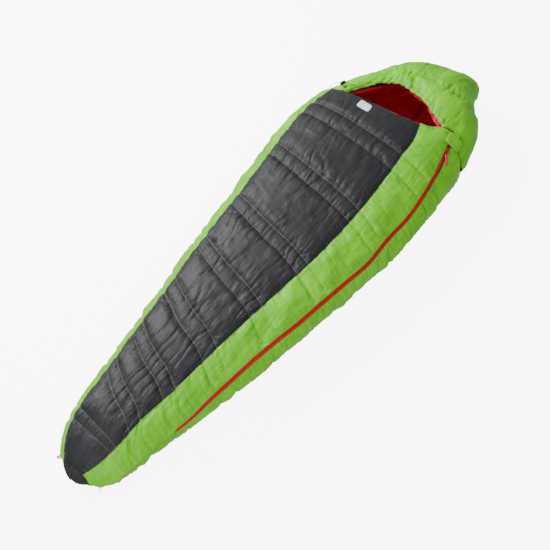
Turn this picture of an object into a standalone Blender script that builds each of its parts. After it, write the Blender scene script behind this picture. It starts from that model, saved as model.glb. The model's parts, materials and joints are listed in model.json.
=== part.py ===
"""Mummy sleeping bag, lying on its back, zip on the right-hand side.

Frame: +Y towards the hood, +X towards the zip side, +Z up.
The ground is z = 0 and the origin is under the middle of the bag.
Every quilted wall is three layers: shell fabric, insulation, lining.
"""
import math

import bmesh
import bpy
import numpy as np
from mathutils import Matrix, Vector

# --------------------------------------------------------------- dimensions
FOOT_Y, HEAD_Y = -1.092, 1.092        # ends of the closed bag
FOOT_CAP, HEAD_CAP = 0.28, 0.20       # length of the rounded ends
X_OFF, Y_OFF = 0.03235, -0.0076       # centres the bounding box on the origin

# stations along the bag: y, half width, centre line, loft (top height)
STATION_Y = (-1.10, -1.00, -0.85, -0.65, -0.40, -0.15, 0.10, 0.35, 0.55, 0.70, 0.85, 1.00, 1.10)
HALF_WIDTH = (0.185, 0.175, 0.162, 0.196, 0.230, 0.269, 0.307, 0.336, 0.338, 0.315, 0.249, 0.179, 0.200)
CENTRE_X = (0.000, -0.004, -0.012, -0.011, -0.015, -0.019, -0.016, -0.024, -0.036, -0.031, -0.022, -0.043, 0.0)
LOFT = (0.200, 0.205, 0.205, 0.205, 0.215, 0.225, 0.235, 0.250, 0.255, 0.250, 0.245, 0.225, 0.210)
WIDEST = 0.44                         # height of the widest line / loft
HOOD_SKEW = 0.30                      # the hood end is cut at a slant
P_SIDE, P_TOP, P_BOTTOM = 0.82, 0.82, 0.62

# layers of the quilted wall, as depths below the outer face
SHELL_D = (0.0, 0.0012)
FILL_D = (0.0024, 0.0228)
LINING_D = (0.0240, 0.0252)
GAP = 0.0004

# zip: an arc from the lower end to the upper end, bulging outwards
ZIP_LOW = (0.160, -0.747, 0.115)
ZIP_TOP = (0.209, 0.732, 0.211)
ZIP_SAG = 0.083
ZIP_TILT = math.radians(42)           # how far the zip faces up
TAPE_W = 0.0140                       # width of one tape
BAND_W = 0.0156                       # half width of the slot that the zip fills

# folding corner of the top quilt
FOLD_NECK = (-0.030, 0.700)           # cut line at the neck edge (plan)
FOLD_ZIP = (0.300, 0.130)             # cut line at the zip (plan)
AXIS_SHIFT = 0.052                    # fold axis lies this far inside the cut at the zip
AXIS_Z = (0.297, 0.218)               # height of the fold axis at both ends

CHARCOAL = (0.055, 0.060, 0.070)
LIME = (0.270, 0.560, 0.080)
RED = (0.330, 0.006, 0.014)
ZIP_RED = (0.420, 0.030, 0.016)
FILL_C = (0.85, 0.85, 0.83)
BLACK = (0.012, 0.012, 0.013)
WHITE = (0.75, 0.75, 0.73)

for _ob in list(bpy.data.objects):
    bpy.data.objects.remove(_ob, do_unlink=True)
BAG = bpy.data.collections.new("mummy_sleeping_bag")
bpy.context.scene.collection.children.link(BAG)
CUT = bpy.data.collections.new("cutters")
bpy.context.scene.collection.children.link(CUT)


# --------------------------------------------------------------- helpers
def material(name, colour, rough, metal=0.0):
    m = bpy.data.materials.new(name)
    m.use_nodes = True
    b = m.node_tree.nodes["Principled BSDF"]
    b.inputs["Base Color"].default_value = (*colour, 1.0)
    b.inputs["Roughness"].default_value = rough
    b.inputs["Metallic"].default_value = metal
    m.diffuse_color = (*colour, 1.0)
    return m


def place(name, mesh, colour, rough=0.6, metal=0.0, smooth=True):
    ob = bpy.data.objects.new(name, mesh)
    mesh.materials.clear()
    mesh.materials.append(material("m_" + name, colour, rough, metal))
    if smooth:
        mesh.shade_smooth()
        mesh.set_sharp_from_angle(angle=math.radians(40))
    BAG.objects.link(ob)
    return ob


def to_mesh(bm, name):
    bmesh.ops.recalc_face_normals(bm, faces=bm.faces[:])
    me = bpy.data.meshes.new(name)
    bm.to_mesh(me)
    bm.free()
    return me


def table(xs, ys, x):
    """Smooth curve through stations."""
    x = float(x)
    i = min(max(sum(1 for q in xs if q < x) - 1, 0), len(xs) - 2)

    def slope(k):
        a, b = max(k - 1, 0), min(k + 1, len(xs) - 1)
        if a == k or b == k:
            return (ys[b] - ys[a]) / (xs[b] - xs[a])
        h0, h1 = xs[k] - xs[a], xs[b] - xs[k]
        return ((ys[k] - ys[a]) / h0 * h1 + (ys[b] - ys[k]) / h1 * h0) / (h0 + h1)

    h = xs[i + 1] - xs[i]
    t = min(max((x - xs[i]) / h, 0.0), 1.0)
    return (
        (2 * t**3 - 3 * t * t + 1) * ys[i] + (t**3 - 2 * t * t + t) * h * slope(i)
        + (3 * t * t - 2 * t**3) * ys[i + 1] + (t**3 - t * t) * h * slope(i + 1)
    )


def smooth(t):
    t = min(max(t, 0.0), 1.0)
    return t * t * (3 - 2 * t)


# --------------------------------------------------------------- zip arc
_A, _B = Vector(ZIP_LOW), Vector(ZIP_TOP)
E1 = (_B - _A).normalized()
E2 = (Vector((1, 0, 0)) - E1 * E1.x).normalized()
_C2 = (_B - _A).length / 2
ZIP_R = (_C2**2 + ZIP_SAG**2) / (2 * ZIP_SAG)
ZIP_C = (_A + _B) / 2 + E2 * (ZIP_SAG - ZIP_R) + Vector((X_OFF, Y_OFF, 0))
ZIP_H = math.asin(_C2 / ZIP_R)        # half angle of the arc
ZIP_K = E2.cross(E1).normalized()     # turning about this moves the slider headwards
_UP = ZIP_K if ZIP_K.z > 0 else -ZIP_K


def zip_frame(th):
    """Point, tangent towards the head, width direction (upwards), outward normal."""
    rho = E2 * math.cos(th) + E1 * math.sin(th)
    tan = E1 * math.cos(th) - E2 * math.sin(th)
    nrm = rho * math.cos(ZIP_TILT) + _UP * math.sin(ZIP_TILT)
    wid = -rho * math.sin(ZIP_TILT) + _UP * math.cos(ZIP_TILT)
    return ZIP_C + rho * ZIP_R, tan, wid, nrm


def zip_at_y(y):
    lo, hi = -ZIP_H * 1.02, ZIP_H * 1.02
    for _ in range(40):
        mid = (lo + hi) / 2
        if zip_frame(mid)[0].y < y:
            lo = mid
        else:
            hi = mid
    return zip_frame(lo)[0]


# --------------------------------------------------------------- bag surface
Y0, Y1 = FOOT_Y + FOOT_CAP, HEAD_Y - HEAD_CAP


def length_at(s):
    """s: -1..0 rounded foot end, 0..1 body, 1..2 rounded hood end."""
    pf = min(max(-s, 0.0), 1.0) * math.pi / 2
    ph = min(max(s - 1.0, 0.0), 1.0) * math.pi / 2
    y = Y0 + (Y1 - Y0) * min(max(s, 0.0), 1.0) - FOOT_CAP * math.sin(pf) + HEAD_CAP * math.sin(ph)
    return y, max(math.cos(pf), 0.0)**1.3 * max(math.cos(ph), 0.0)**0.72, pf, ph


def section(s, phi, d):
    """Point on the section at s, angle phi (degrees), depth d below the outer face."""
    y, sc, pf, ph = length_at(s)
    inset = d * math.cos(pf) * math.cos(ph)
    y += d * math.sin(pf) - d * math.sin(ph)
    ys = length_at(s)[0]
    a, xc, top = (table(STATION_Y, q, ys) for q in (HALF_WIDTH, CENTRE_X, LOFT))
    zm = WIDEST * top
    c, si = math.cos(math.radians(phi)), math.sin(math.radians(phi))
    x = xc + (a * sc - inset) * math.copysign(abs(c)**P_SIDE, c)
    if si >= 0:
        z = zm + ((top - zm) * sc - inset) * si**P_TOP
    else:
        z = max(d, zm - (1.10 * zm * sc**0.8 - inset) * abs(si)**P_BOTTOM)
    w = smooth((ys - 0.60) / 0.45)
    return x, y + HOOD_SKEW * w * (x - xc), z, zm, top, sc


def zip_angle(s):
    """Angle of the zip line on the section at s, and the sideways pull that puts the wall on the arc."""
    q = min(max(s, S_ZIP_LOW), S_ZIP_TOP)
    y, sc, _, _ = length_at(q)
    p = zip_at_y(y + Y_OFF + HOOD_SKEW * smooth((y - 0.60) / 0.45) * 0.235)
    _, _, _, zm, top, sc = section(q, 0, 0)
    phi = math.degrees(math.asin(min(max((p.z - zm) / ((top - zm) * sc), 0.01), 0.98)**(1 / P_TOP)))
    pull = p.x - X_OFF - section(q, phi, 0)[0]
    fade = smooth((s - S_ZIP_LOW + 0.25) / 0.25) * smooth((S_ZIP_TOP + 0.12 - s) / 0.12)
    return phi, pull * fade


S_ZIP_LOW, S_ZIP_TOP = 0.036, 0.890
_cache = {}


def wall(s, phi, d):
    key = round(s, 6)
    if key not in _cache:
        _cache[key] = zip_angle(s)
    pz, pull = _cache[key]
    x, y, z, _, _, _ = section(s, phi, d)
    dp = (phi - pz + 180) % 360 - 180
    x += pull * math.exp(-(dp / 26.0)**2)
    return Vector((x + X_OFF, y + Y_OFF, z))


# --------------------------------------------------------------- seam lines (angles in degrees along the bag)
def seam_right_bottom(s):
    return table((-1, 0.0, 0.5, 0.8, 1.2), (-24, -24, -17, -12, -12), s)


def seam_dark_green(s):
    return table((-1, -0.6, -0.1, 0.15, 0.40, 0.66, 0.80, 0.86, 0.905, 1.2),
                 (58, 59, 60, 64, 63, 65, 67, 69, 74, 76), s)


def seam_left(s):
    return table((-1, 0.08, 0.34, 0.69, 0.88, 1.2), (146, 146, 148, 148, 150, 152), s)


def seam_left_bottom(s):
    return 198.0


def neck_s(phi):
    phi = (phi + 90) % 360 - 90
    return table((-90, 0, 12, 26, 38, 50, 57, 67, 74, 92, 107, 121, 156, 200, 270),
                 (0.900, 0.900, 0.899, 0.908, 0.925, 0.928, 0.923, 0.908, 0.902, 0.890, 0.886, 0.885, 0.884, 0.890, 0.900), phi)


OPEN_R, OPEN_L = 56.0, 131.0          # angular ends of the face opening
HOOD_GAP = 0.0040                     # slot between quilt and hood outside the opening


def hem_s(phi):
    phi = (phi + 90) % 360 - 90
    base = neck_s(phi) + HOOD_GAP
    if phi <= OPEN_R or phi >= OPEN_L:
        return base
    h = table((56, 62, 70.7, 83, 93, 102, 116, 124, 128, 131),
              (0.927, 0.933, 0.942, 0.958, 0.972, 0.978, 0.972, 0.955, 0.930, 0.889), phi)
    return max(h, base)


def band_half(s):
    """Half angle of the slot for the zip; beyond the zip the two panels meet in a seam."""
    pz = zip_angle(s)[0]
    a, b = wall(s, pz - 0.5, 0), wall(s, pz + 0.5, 0)
    k = 1.0 / max((a - b).length, 1e-5)
    on = smooth((s - S_ZIP_LOW + 0.022) / 0.020) * smooth((S_ZIP_TOP + 0.030 - s) / 0.024)
    return k * (0.0006 + (BAND_W - 0.0006) * on)


# lanes run along the bag: (function of s, number of steps to the next lane)
LANES = (
    (seam_right_bottom, 3),
    (lambda s: zip_angle(s)[0] - band_half(s), 1),
    (lambda s: zip_angle(s)[0] + band_half(s), 4),
    (seam_dark_green, 6),
    (seam_left, 3),
    (seam_left_bottom, 5),
)


def lane_angles(s):
    """All lane angles at s, once round, starting and ending at the right-hand bottom seam."""
    keys = [f(s) for f, _ in LANES] + [LANES[0][0](s) + 360]
    out = []
    for i, (_, n) in enumerate(LANES):
        for k in range(n):
            out.append(keys[i] + (keys[i + 1] - keys[i]) * k / n)
    out.append(keys[-1])
    return out


L_RB, L_ZL, L_ZU, L_DG, L_L, L_LB = 0, 3, 4, 8, 14, 17
L_END = 22
NUDGE = 0.00025                       # half of the gap between panels
FILL_NUDGE = 0.0030                   # the insulation stops short of the seams

H_IN = 0.0018                         # the hood layers start behind the hem band
BODY_S = (-0.70, -0.50, -0.30, -0.12, 0.014, 0.036, 0.12, 0.22, 0.32, 0.42, 0.52, 0.62, 0.72, 0.82)
NECK_T = (0.33, 0.667, 1.0)           # rows between the last station and the neck edge
N_ROWS = len(BODY_S) + len(NECK_T)
FOOT_ROWS, LEG_ROWS, CHEST_ROWS = (0, 8), (7, 12), (11, N_ROWS)    # chambers of the insulation
HOOD_T = (0.0, 0.12, 0.28, 0.48, 0.68, 0.86, 1.0)


def body_rows(lane, inset_s):
    """s of every row along one lane, from the foot seam to the neck edge."""
    base = lane_angles(BODY_S[-1])[lane]
    ang = base
    for _ in range(3):                # the lane bends, so find the angle where it meets the neck
        ang = lane_angles(neck_s(ang))[lane]
    end = neck_s(ang) - inset_s
    return list(BODY_S) + [BODY_S[-1] + (end - BODY_S[-1]) * t for t in NECK_T]


def sheet(name, outer, inner, colour, rough=0.6, closed=False):
    """A closed solid between two grids of points with the same layout."""
    ni, nj = len(outer), len(outer[0])
    bm = bmesh.new()
    bmesh.ops.create_grid(bm, x_segments=ni - 1, y_segments=nj - 1, size=0.5)
    gi = bm.verts.layers.int.new("gi")
    gj = bm.verts.layers.int.new("gj")
    for v in bm.verts:
        v[gi] = round((v.co.x + 0.5) * (ni - 1))
        v[gj] = round((v.co.y + 0.5) * (nj - 1))
    for f in list(bm.faces):          # every quad is split along the same diagonal
        vs = sorted(f.verts, key=lambda v: v[gi] + v[gj])
        bmesh.utils.face_split(f, vs[0], vs[3])
    for v in bm.verts:
        v.co = outer[v[gi]][v[gj]]
    if closed:
        bmesh.ops.remove_doubles(bm, verts=bm.verts[:], dist=1e-5)
    r = bmesh.ops.extrude_face_region(bm, geom=bm.faces[:], use_keep_orig=True)
    for g in r["geom"]:
        if isinstance(g, bmesh.types.BMVert):
            g.co = inner[g[gi]][g[gj]]
    bm.verts.layers.int.remove(bm.verts.layers.int["gi"])
    bm.verts.layers.int.remove(bm.verts.layers.int["gj"])
    return place(name, to_mesh(bm, name), colour, rough)


def body_panel(name, lane_a, lane_b, depth, colour, rough=0.6, top_inset=0.0, rows=None):
    """A panel of the body between two lanes, from the foot seam to the neck edge."""
    cols = []
    for lane in range(lane_a, lane_b + 1):
        wrapped = lane % L_END if lane > L_END else lane
        extra = 360.0 if lane > L_END else 0.0
        col_s = body_rows(wrapped, top_inset)
        if rows:
            col_s = col_s[rows[0]:rows[1]]
        col = []
        for s in col_s:
            ang = lane_angles(s)[wrapped] + extra
            col.append((s, ang))
        cols.append(col)
    grid = [[cols[j][i] for j in range(len(cols))] for i in range(len(cols[0]))]
    outer = [[wall(s, a, depth[0]) for s, a in row] for row in grid]
    inner = [[wall(s, a, depth[1]) for s, a in row] for row in grid]
    nudge = FILL_NUDGE if depth == FILL_D else NUDGE
    for pts in (outer, inner):        # draw both side edges in along the facets
        for row in pts:
            row[0], row[-1] = (row[0] + (row[1] - row[0]).normalized() * nudge,
                               row[-1] + (row[-2] - row[-1]).normalized() * nudge)
        if rows and rows[0] > 0:      # and the ends that meet the next chamber
            pts[0] = [p + (q - p).normalized() * nudge for p, q in zip(pts[0], pts[1])]
        if rows and rows[1] < N_ROWS:
            pts[-1] = [p + (q - p).normalized() * nudge for p, q in zip(pts[-1], pts[-2])]
    return sheet(name, outer, inner, colour, rough)


def hood_ring(name, depth, colour, rough=0.6, start=0.0, lanes=None):
    """The whole hood, or the sector between two lanes, from its lower edge to the crown."""
    cols = []
    first, last = lanes or (0, L_END)
    for lane in range(first, last + 1):
        ang = lane_angles(0.9)[lane]
        for _ in range(3):
            ang = lane_angles(hem_s(ang))[lane]
        s0 = hem_s(ang) + H_IN
        cols.append([(s0 + (2.0 - s0) * t, ang) for t in HOOD_T])
    grid = [[cols[j][i] for j in range(len(cols))] for i in range(len(HOOD_T))]
    outer = [[wall(s, a, depth[0]) for s, a in row] for row in grid]
    inner = [[wall(s, a, depth[1]) for s, a in row] for row in grid]
    for pts in (outer, inner):        # start further back along the same facets
        pts[0] = [p + (q - p).normalized() * start for p, q in zip(pts[0], pts[1])]
        if lanes:                     # and draw the side edges in, all but the crown point
            for row in pts[:-1]:
                row[0], row[-1] = (row[0] + (row[1] - row[0]).normalized() * FILL_NUDGE,
                                   row[-1] + (row[-2] - row[-1]).normalized() * FILL_NUDGE)
            shift = pts[-2][len(pts[-2]) // 2] - pts[-1][0]
            pts[-1] = [p + shift.normalized() * FILL_NUDGE * 2 for p in pts[-1]]
    return sheet(name, outer, inner, colour, rough, closed=True)


def foot_cap(name, depth, colour, rough=0.6):
    """The oval end panel at the feet."""
    rows = (-1.0, -0.90, -0.80, -0.704)
    grid = [[(s, lane_angles(-0.704)[lane]) for lane in range(0, L_END + 1)] for s in rows]
    outer = [[wall(s, a, depth[0]) for s, a in row] for row in grid]
    inner = [[wall(s, a, depth[1]) for s, a in row] for row in grid]
    return sheet(name, outer, inner, colour, rough, closed=True)


# --------------------------------------------------------------- quilted walls
T_IN = 0.0020                         # the panels stop short of the neck binding
body_panel("bottom_shell", L_LB, L_END, SHELL_D, CHARCOAL, 0.55)
body_panel("bottom_foot_fill", L_LB, L_END, FILL_D, FILL_C, 0.95, rows=FOOT_ROWS)
body_panel("bottom_leg_fill", L_LB, L_END, FILL_D, FILL_C, 0.95, rows=LEG_ROWS)
body_panel("bottom_chest_fill", L_LB, L_END, FILL_D, FILL_C, 0.95, rows=CHEST_ROWS)
body_panel("left_side_shell", L_L, L_LB, SHELL_D, LIME, 0.5)
body_panel("left_side_fill", L_L, L_LB, FILL_D, FILL_C, 0.95)
body_panel("right_lower_shell", L_RB, L_ZL, SHELL_D, LIME, 0.5)
body_panel("right_lower_fill", L_RB, L_ZL, FILL_D, FILL_C, 0.95)
body_panel("base_lining", L_L, L_END + L_ZL, LINING_D, RED, 0.6)
top_shell = body_panel("top_shell", L_DG, L_L, SHELL_D, CHARCOAL, 0.55, T_IN)
right_upper_shell = body_panel("right_upper_shell", L_ZU, L_DG, SHELL_D, LIME, 0.5, T_IN)
body_panel("top_foot_fill", L_DG, L_L, FILL_D, FILL_C, 0.95, T_IN, FOOT_ROWS)
body_panel("top_leg_fill", L_DG, L_L, FILL_D, FILL_C, 0.95, T_IN, LEG_ROWS)
top_fill = body_panel("top_chest_fill", L_DG, L_L, FILL_D, FILL_C, 0.95, T_IN, CHEST_ROWS)
body_panel("right_foot_fill", L_ZU, L_DG, FILL_D, FILL_C, 0.95, T_IN, FOOT_ROWS)
right_upper_fill = body_panel("right_upper_fill", L_ZU, L_DG, FILL_D, FILL_C, 0.95, T_IN, (7, N_ROWS))
top_lining = body_panel("top_lining", L_ZU, L_L, LINING_D, RED, 0.6, T_IN)
foot_cap("foot_shell", SHELL_D, CHARCOAL, 0.55)
foot_cap("foot_fill", FILL_D, FILL_C, 0.95)
foot_cap("foot_lining", LINING_D, RED, 0.6)
hood_ring("hood_shell", SHELL_D, LIME, 0.5)
hood_ring("hood_top_fill", FILL_D, FILL_C, 0.95, 0.0160, (L_RB, L_LB))
hood_ring("hood_back_fill", FILL_D, FILL_C, 0.95, 0.0160, (L_LB, L_END))
hood_ring("hood_lining", LINING_D, RED, 0.6)


def edge_band(name, lane_a, lane_b, at, width, colour, hood):
    """A narrow band that closes the raw edge of the quilt through its whole thickness."""
    outer, inner = [[], []], [[], []]
    for lane in range(lane_a, lane_b + 1):
        f = hem_s if hood else neck_s
        ang = lane_angles(0.9)[lane]
        for _ in range(3):
            ang = lane_angles(f(ang))[lane]
        for k, s in enumerate((f(ang) + at, f(ang) + at + width)):
            outer[k].append(wall(s, ang, 0.0))
            inner[k].append(wall(s, ang, LINING_D[1]))
    for pts in (outer, inner):
        for row in pts:
            row[0], row[-1] = (row[0] + (row[1] - row[0]).normalized() * NUDGE,
                               row[-1] + (row[-2] - row[-1]).normalized() * NUDGE)
    return sheet(name, outer, inner, colour, 0.6)


neck_binding = edge_band("neck_binding", L_ZU, L_L, -0.0016, 0.0014, CHARCOAL, False)
edge_band("hood_hem", L_ZU + 1, L_L - 1, 0.0002, 0.0012, LIME, True)


# --------------------------------------------------------------- zip
def turned(name, profile, th0, th1, steps, colour, rough, metal=0.0):
    """A closed profile in (width, normal), turned about the zip's centre."""
    bm = bmesh.new()
    p, _, wid, nrm = zip_frame(th0)
    ring = [bm.verts.new(p + wid * w + nrm * n) for w, n in profile]
    edges = [bm.edges.new((ring[i], ring[(i + 1) % len(ring)])) for i in range(len(ring))]
    bmesh.ops.spin(bm, geom=ring + edges, cent=ZIP_C, axis=ZIP_K, angle=th1 - th0, steps=steps, use_duplicate=False)
    bmesh.ops.holes_fill(bm, edges=[e for e in bm.edges if e.is_boundary], sides=0)
    bmesh.ops.triangulate(bm, faces=bm.faces[:])
    return place(name, to_mesh(bm, name), colour, rough, metal)


def box_profile(w0, w1, n0, n1):
    return [(w0, n0), (w1, n0), (w1, n1), (w0, n1)]


ZS = 36
zip_tape_lower = turned("zip_tape_lower", box_profile(-TAPE_W, -0.0003, -0.0011, -0.0003), -ZIP_H, ZIP_H, ZS, ZIP_RED, 0.8)
zip_tape_upper = turned("zip_tape_upper", box_profile(0.0003, TAPE_W, -0.0011, -0.0003), -ZIP_H, ZIP_H, ZS, ZIP_RED, 0.8)
coil_p = [(0.0002, 0.0001), (0.0030, 0.0001), (0.0030, 0.0010), (0.0022, 0.0019), (0.0010, 0.0019), (0.0002, 0.0010)]
zip_coil_lower = turned("zip_coil_lower", [(-w, n) for w, n in coil_p], -ZIP_H + 0.003, ZIP_H - 0.004, ZS, ZIP_RED, 0.45)
zip_coil_upper = turned("zip_coil_upper", coil_p, -ZIP_H + 0.003, ZIP_H - 0.004, ZS, ZIP_RED, 0.45)


def local(th):
    """Matrix with x across the zip, y along it towards the head, z outwards."""
    p, tan, wid, nrm = zip_frame(th)
    x = tan.cross(nrm).normalized()
    m = Matrix((x, tan, nrm)).transposed().to_4x4()
    m.translation = p
    return m


def block(size, centre, bevel=0.0, seg=2):
    bm = bmesh.new()
    bmesh.ops.create_cube(bm, size=1.0)
    for v in bm.verts:
        v.co = Vector((v.co.x * size[0] + centre[0], v.co.y * size[1] + centre[1], v.co.z * size[2] + centre[2]))
    if bevel:
        bmesh.ops.bevel(bm, geom=bm.edges[:], offset=bevel, segments=seg, profile=0.5, affect="EDGES")
    return bm


def bm_object(name, bm, colour, rough, metal=0.0, coll=None, smooth=True):
    me = to_mesh(bm, name)
    if coll is None:
        return place(name, me, colour, rough, metal, smooth)
    ob = bpy.data.objects.new(name, me)
    ob.hide_render = True
    ob.display_type = "WIRE"
    coll.objects.link(ob)
    return ob


def boolean(ob, cutter, op="DIFFERENCE"):
    m = ob.modifiers.new("cut", "BOOLEAN")
    m.operation = op
    m.solver = "EXACT"
    m.object = cutter


TH_TOP = ZIP_H - 0.0105 / ZIP_R - 0.004
SLIDE = 2 * ZIP_H - 0.0500 / ZIP_R    # travel of the slider, radians
# the slider: a body with a channel for the coil and a bridge for the pull
slider = bm_object("zip_slider", block((0.0120, 0.0170, 0.0062), (0, 0, 0.0035), 0.0012), ZIP_RED, 0.35, 0.6)
slider.matrix_world = local(TH_TOP)
chan = bm_object("cut_channel", block((0.0068, 0.0300, 0.0040), (0, 0, 0.0005)), BLACK, 0.5, coll=CUT)
chan.parent = slider
boolean(slider, chan)
for sx in (-1, 1):
    post = bm_object("join_post_%d" % (sx + 2), block((0.0016, 0.0036, 0.0060), (sx * 0.0041, 0.0, 0.0091), 0.0003, 1), BLACK, 0.5, coll=CUT)
    post.parent = slider
    boolean(slider, post, "UNION")
bar_bm = bmesh.new()
bmesh.ops.create_cone(bar_bm, cap_ends=True, segments=12, radius1=0.0010, radius2=0.0010, depth=0.0086,
                      matrix=Matrix.Translation((0, 0, 0.0106)) @ Matrix.Rotation(math.pi / 2, 4, "Y"))
bar = bm_object("join_bar", bar_bm, BLACK, 0.5, coll=CUT)
bar.parent = slider
boolean(slider, bar, "UNION")

PULL_Z = 0.0106
# the metal tag that swings on the bridge; its object origin is on the bar
pull_m = local(TH_TOP) @ Matrix.Translation((0, 0, PULL_Z))
tag = bm_object("zip_pull", block((0.0054, 0.0232, 0.0032), (0, -0.0090, 0), 0.0006, 1), ZIP_RED, 0.35, 0.5)
tag.matrix_world = pull_m
eye_bm = bmesh.new()
bmesh.ops.create_cone(eye_bm, cap_ends=True, segments=16, radius1=0.00135, radius2=0.00135, depth=0.02,
                      matrix=Matrix.Rotation(math.pi / 2, 4, "Y"))
eye = bm_object("cut_eye", eye_bm, BLACK, 0.5, coll=CUT)
eye.parent = tag
boolean(tag, eye)
slot = bm_object("cut_slot", block((0.0034, 0.0030, 0.02), (0, -0.0170, 0)), BLACK, 0.5, coll=CUT)
slot.parent = tag
boolean(tag, slot)

# soft finger tab looped through the tag, hanging down the side of the bag
TAB_ANG = math.radians(-42)
tab_m = pull_m @ Matrix.Translation((0, -0.0215, 0.0004)) @ Matrix.Rotation(-TAB_ANG, 4, "Z")
finger = bm_object("pull_tab", block((0.0125, 0.0400, 0.0040), (0, -0.0215, 0), 0.0015, 2), (0.55, 0.05, 0.06), 0.5)
finger.matrix_world = tab_m

# stops at both ends of the coil
for nm, th, w0, w1 in (("zip_bottom_stop", -ZIP_H + 0.0012, -0.0032, 0.0032), ("zip_top_stop", ZIP_H - 0.0026, -0.0032, -0.0003),
                       ("corner_zip_stop", ZIP_H - 0.0026, 0.0003, 0.0032)):
    st = bm_object(nm, block((w1 - w0, 0.0040, 0.0030), (-(w0 + w1) / 2, 0, 0.0017), 0.0004, 1), BLACK, 0.35, 0.6)
    st.matrix_world = local(th)


# --------------------------------------------------------------- draft tube behind the zip
def tube(name, pts, radius, colour, rough=0.6, res=2):
    cu = bpy.data.curves.new(name, "CURVE")
    cu.dimensions = "3D"
    cu.bevel_depth = radius
    cu.bevel_resolution = res
    cu.use_fill_caps = True
    sp = cu.splines.new("POLY")
    sp.points.add(len(pts) - 1)
    for q, p in zip(sp.points, pts):
        q.co = (*p, 1.0)
    ob = bpy.data.objects.new(name, cu)
    cu.materials.append(material("m_" + name, colour, rough))
    BAG.objects.link(ob)
    return ob


DRAFT_R = 0.0080
draft_pts = []
for k in range(31):
    s_ = S_ZIP_LOW + 0.006 + (S_ZIP_TOP - S_ZIP_LOW - 0.02) * k / 30
    draft_pts.append(wall(s_, zip_angle(s_)[0], 0.0440))
tube("draft_tube", draft_pts, DRAFT_R, RED, 0.6, 2)


# --------------------------------------------------------------- folding corner
_q0, _q1 = Vector((FOLD_NECK[0] + X_OFF, FOLD_NECK[1], 0)), Vector((FOLD_ZIP[0] + X_OFF, FOLD_ZIP[1], 0))
_dir = (_q1 - _q0).normalized()
CUT_NO = Vector((-_dir.y, _dir.x, 0))            # points to the zip side
if CUT_NO.x < 0:
    CUT_NO = -CUT_NO
AX0 = Vector((_q0.x, _q0.y, AXIS_Z[0]))
AX1 = Vector((_q1.x, _q1.y, 0)) - CUT_NO * AXIS_SHIFT + Vector((0, 0, AXIS_Z[1]))
FOLD_DIR = (AX0 - AX1).normalized()              # towards the head; turning by + lifts the zip side


def split(ob, flap_name):
    """Cuts a node along the fold plane: the head and zip side becomes the corner's piece."""
    src = ob.data
    out = []
    for side in (1, -1):
        bm = bmesh.new()
        bm.from_mesh(src)
        co = _q0 + CUT_NO * (GAP / 2 * side)
        bmesh.ops.bisect_plane(bm, geom=bm.verts[:] + bm.edges[:] + bm.faces[:], dist=1e-6,
                               plane_co=co, plane_no=CUT_NO, clear_inner=side > 0, clear_outer=side < 0)
        bmesh.ops.holes_fill(bm, edges=[e for e in bm.edges if e.is_boundary], sides=0)
        bmesh.ops.triangulate(bm, faces=[f for f in bm.faces if len(f.verts) > 3])
        out.append(bm)
    colour = ob.data.materials[0].diffuse_color[:3]
    rough = ob.data.materials[0].node_tree.nodes["Principled BSDF"].inputs["Roughness"].default_value
    name = ob.name
    bpy.data.objects.remove(ob, do_unlink=True)
    flap = place(flap_name, to_mesh(out[0], flap_name), colour, rough)
    rest = place(name, to_mesh(out[1], name), colour, rough)
    rest.name = name
    return rest, flap


split(top_shell, "corner_top_shell")
split(right_upper_shell, "corner_side_shell")
split(top_fill, "corner_top_fill")
split(right_upper_fill, "corner_side_fill")
split(top_lining, "corner_lining")
split(neck_binding, "corner_binding")
split(zip_tape_upper, "corner_zip_tape")
split(zip_coil_upper, "corner_zip_coil")


# --------------------------------------------------------------- hook-and-loop tab over the top of the zip
def patch(name, s0, s1, p0, p1, d0, d1, n, colour, rough=0.6):
    """A small curved plate on the wall, n steps each way."""
    outer, inner = [], []
    for i in range(n + 1):
        s = s0 + (s1 - s0) * i / n
        outer.append([wall(s, p0 + (p1 - p0) * j / n, d0) for j in range(n + 1)])
        inner.append([wall(s, p0 + (p1 - p0) * j / n, d1) for j in range(n + 1)])
    return sheet(name, outer, inner, colour, rough)


TAB_S = (0.8985, 0.9240)
TAB_P = (30.0, 49.5)
patch("zip_tab", *TAB_S, *TAB_P, -0.0078, -0.0042, 5, LIME, 0.5)
patch("hook_patch", 0.9010, 0.9150, 31.5, 37.5, -0.0038, -0.0024, 2, BLACK, 0.9)
patch("loop_patch", 0.9010, 0.9150, 31.5, 37.5, -0.0020, -0.0006, 2, BLACK, 0.95)
TAB_A, TAB_B = wall(TAB_S[0], TAB_P[1] + 0.6, -0.0085), wall(TAB_S[1], TAB_P[1] + 0.6, -0.0085)

# plain woven label on the chest
patch("label", 0.850, 0.874, 98.5, 108.5, -0.0016, -0.0006, 4, WHITE, 0.7)


# --------------------------------------------------------------- drawcord of the hood
CORD_R = 0.00125
chan_pts = []
for lane in range(L_ZU + 1, L_L):
    ang = lane_angles(0.9)[lane]
    for _ in range(3):
        ang = lane_angles(hem_s(ang))[lane]
    chan_pts.append(wall(hem_s(ang) + 0.0085, ang, 0.0120))
chan_pts[0] = chan_pts[0].lerp(chan_pts[1], 0.30)      # the channel ends short of the corners
chan_pts[-1] = chan_pts[-1].lerp(chan_pts[-2], 0.30)
tube("hood_drawcord", chan_pts, CORD_R, BLACK, 0.7)

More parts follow.
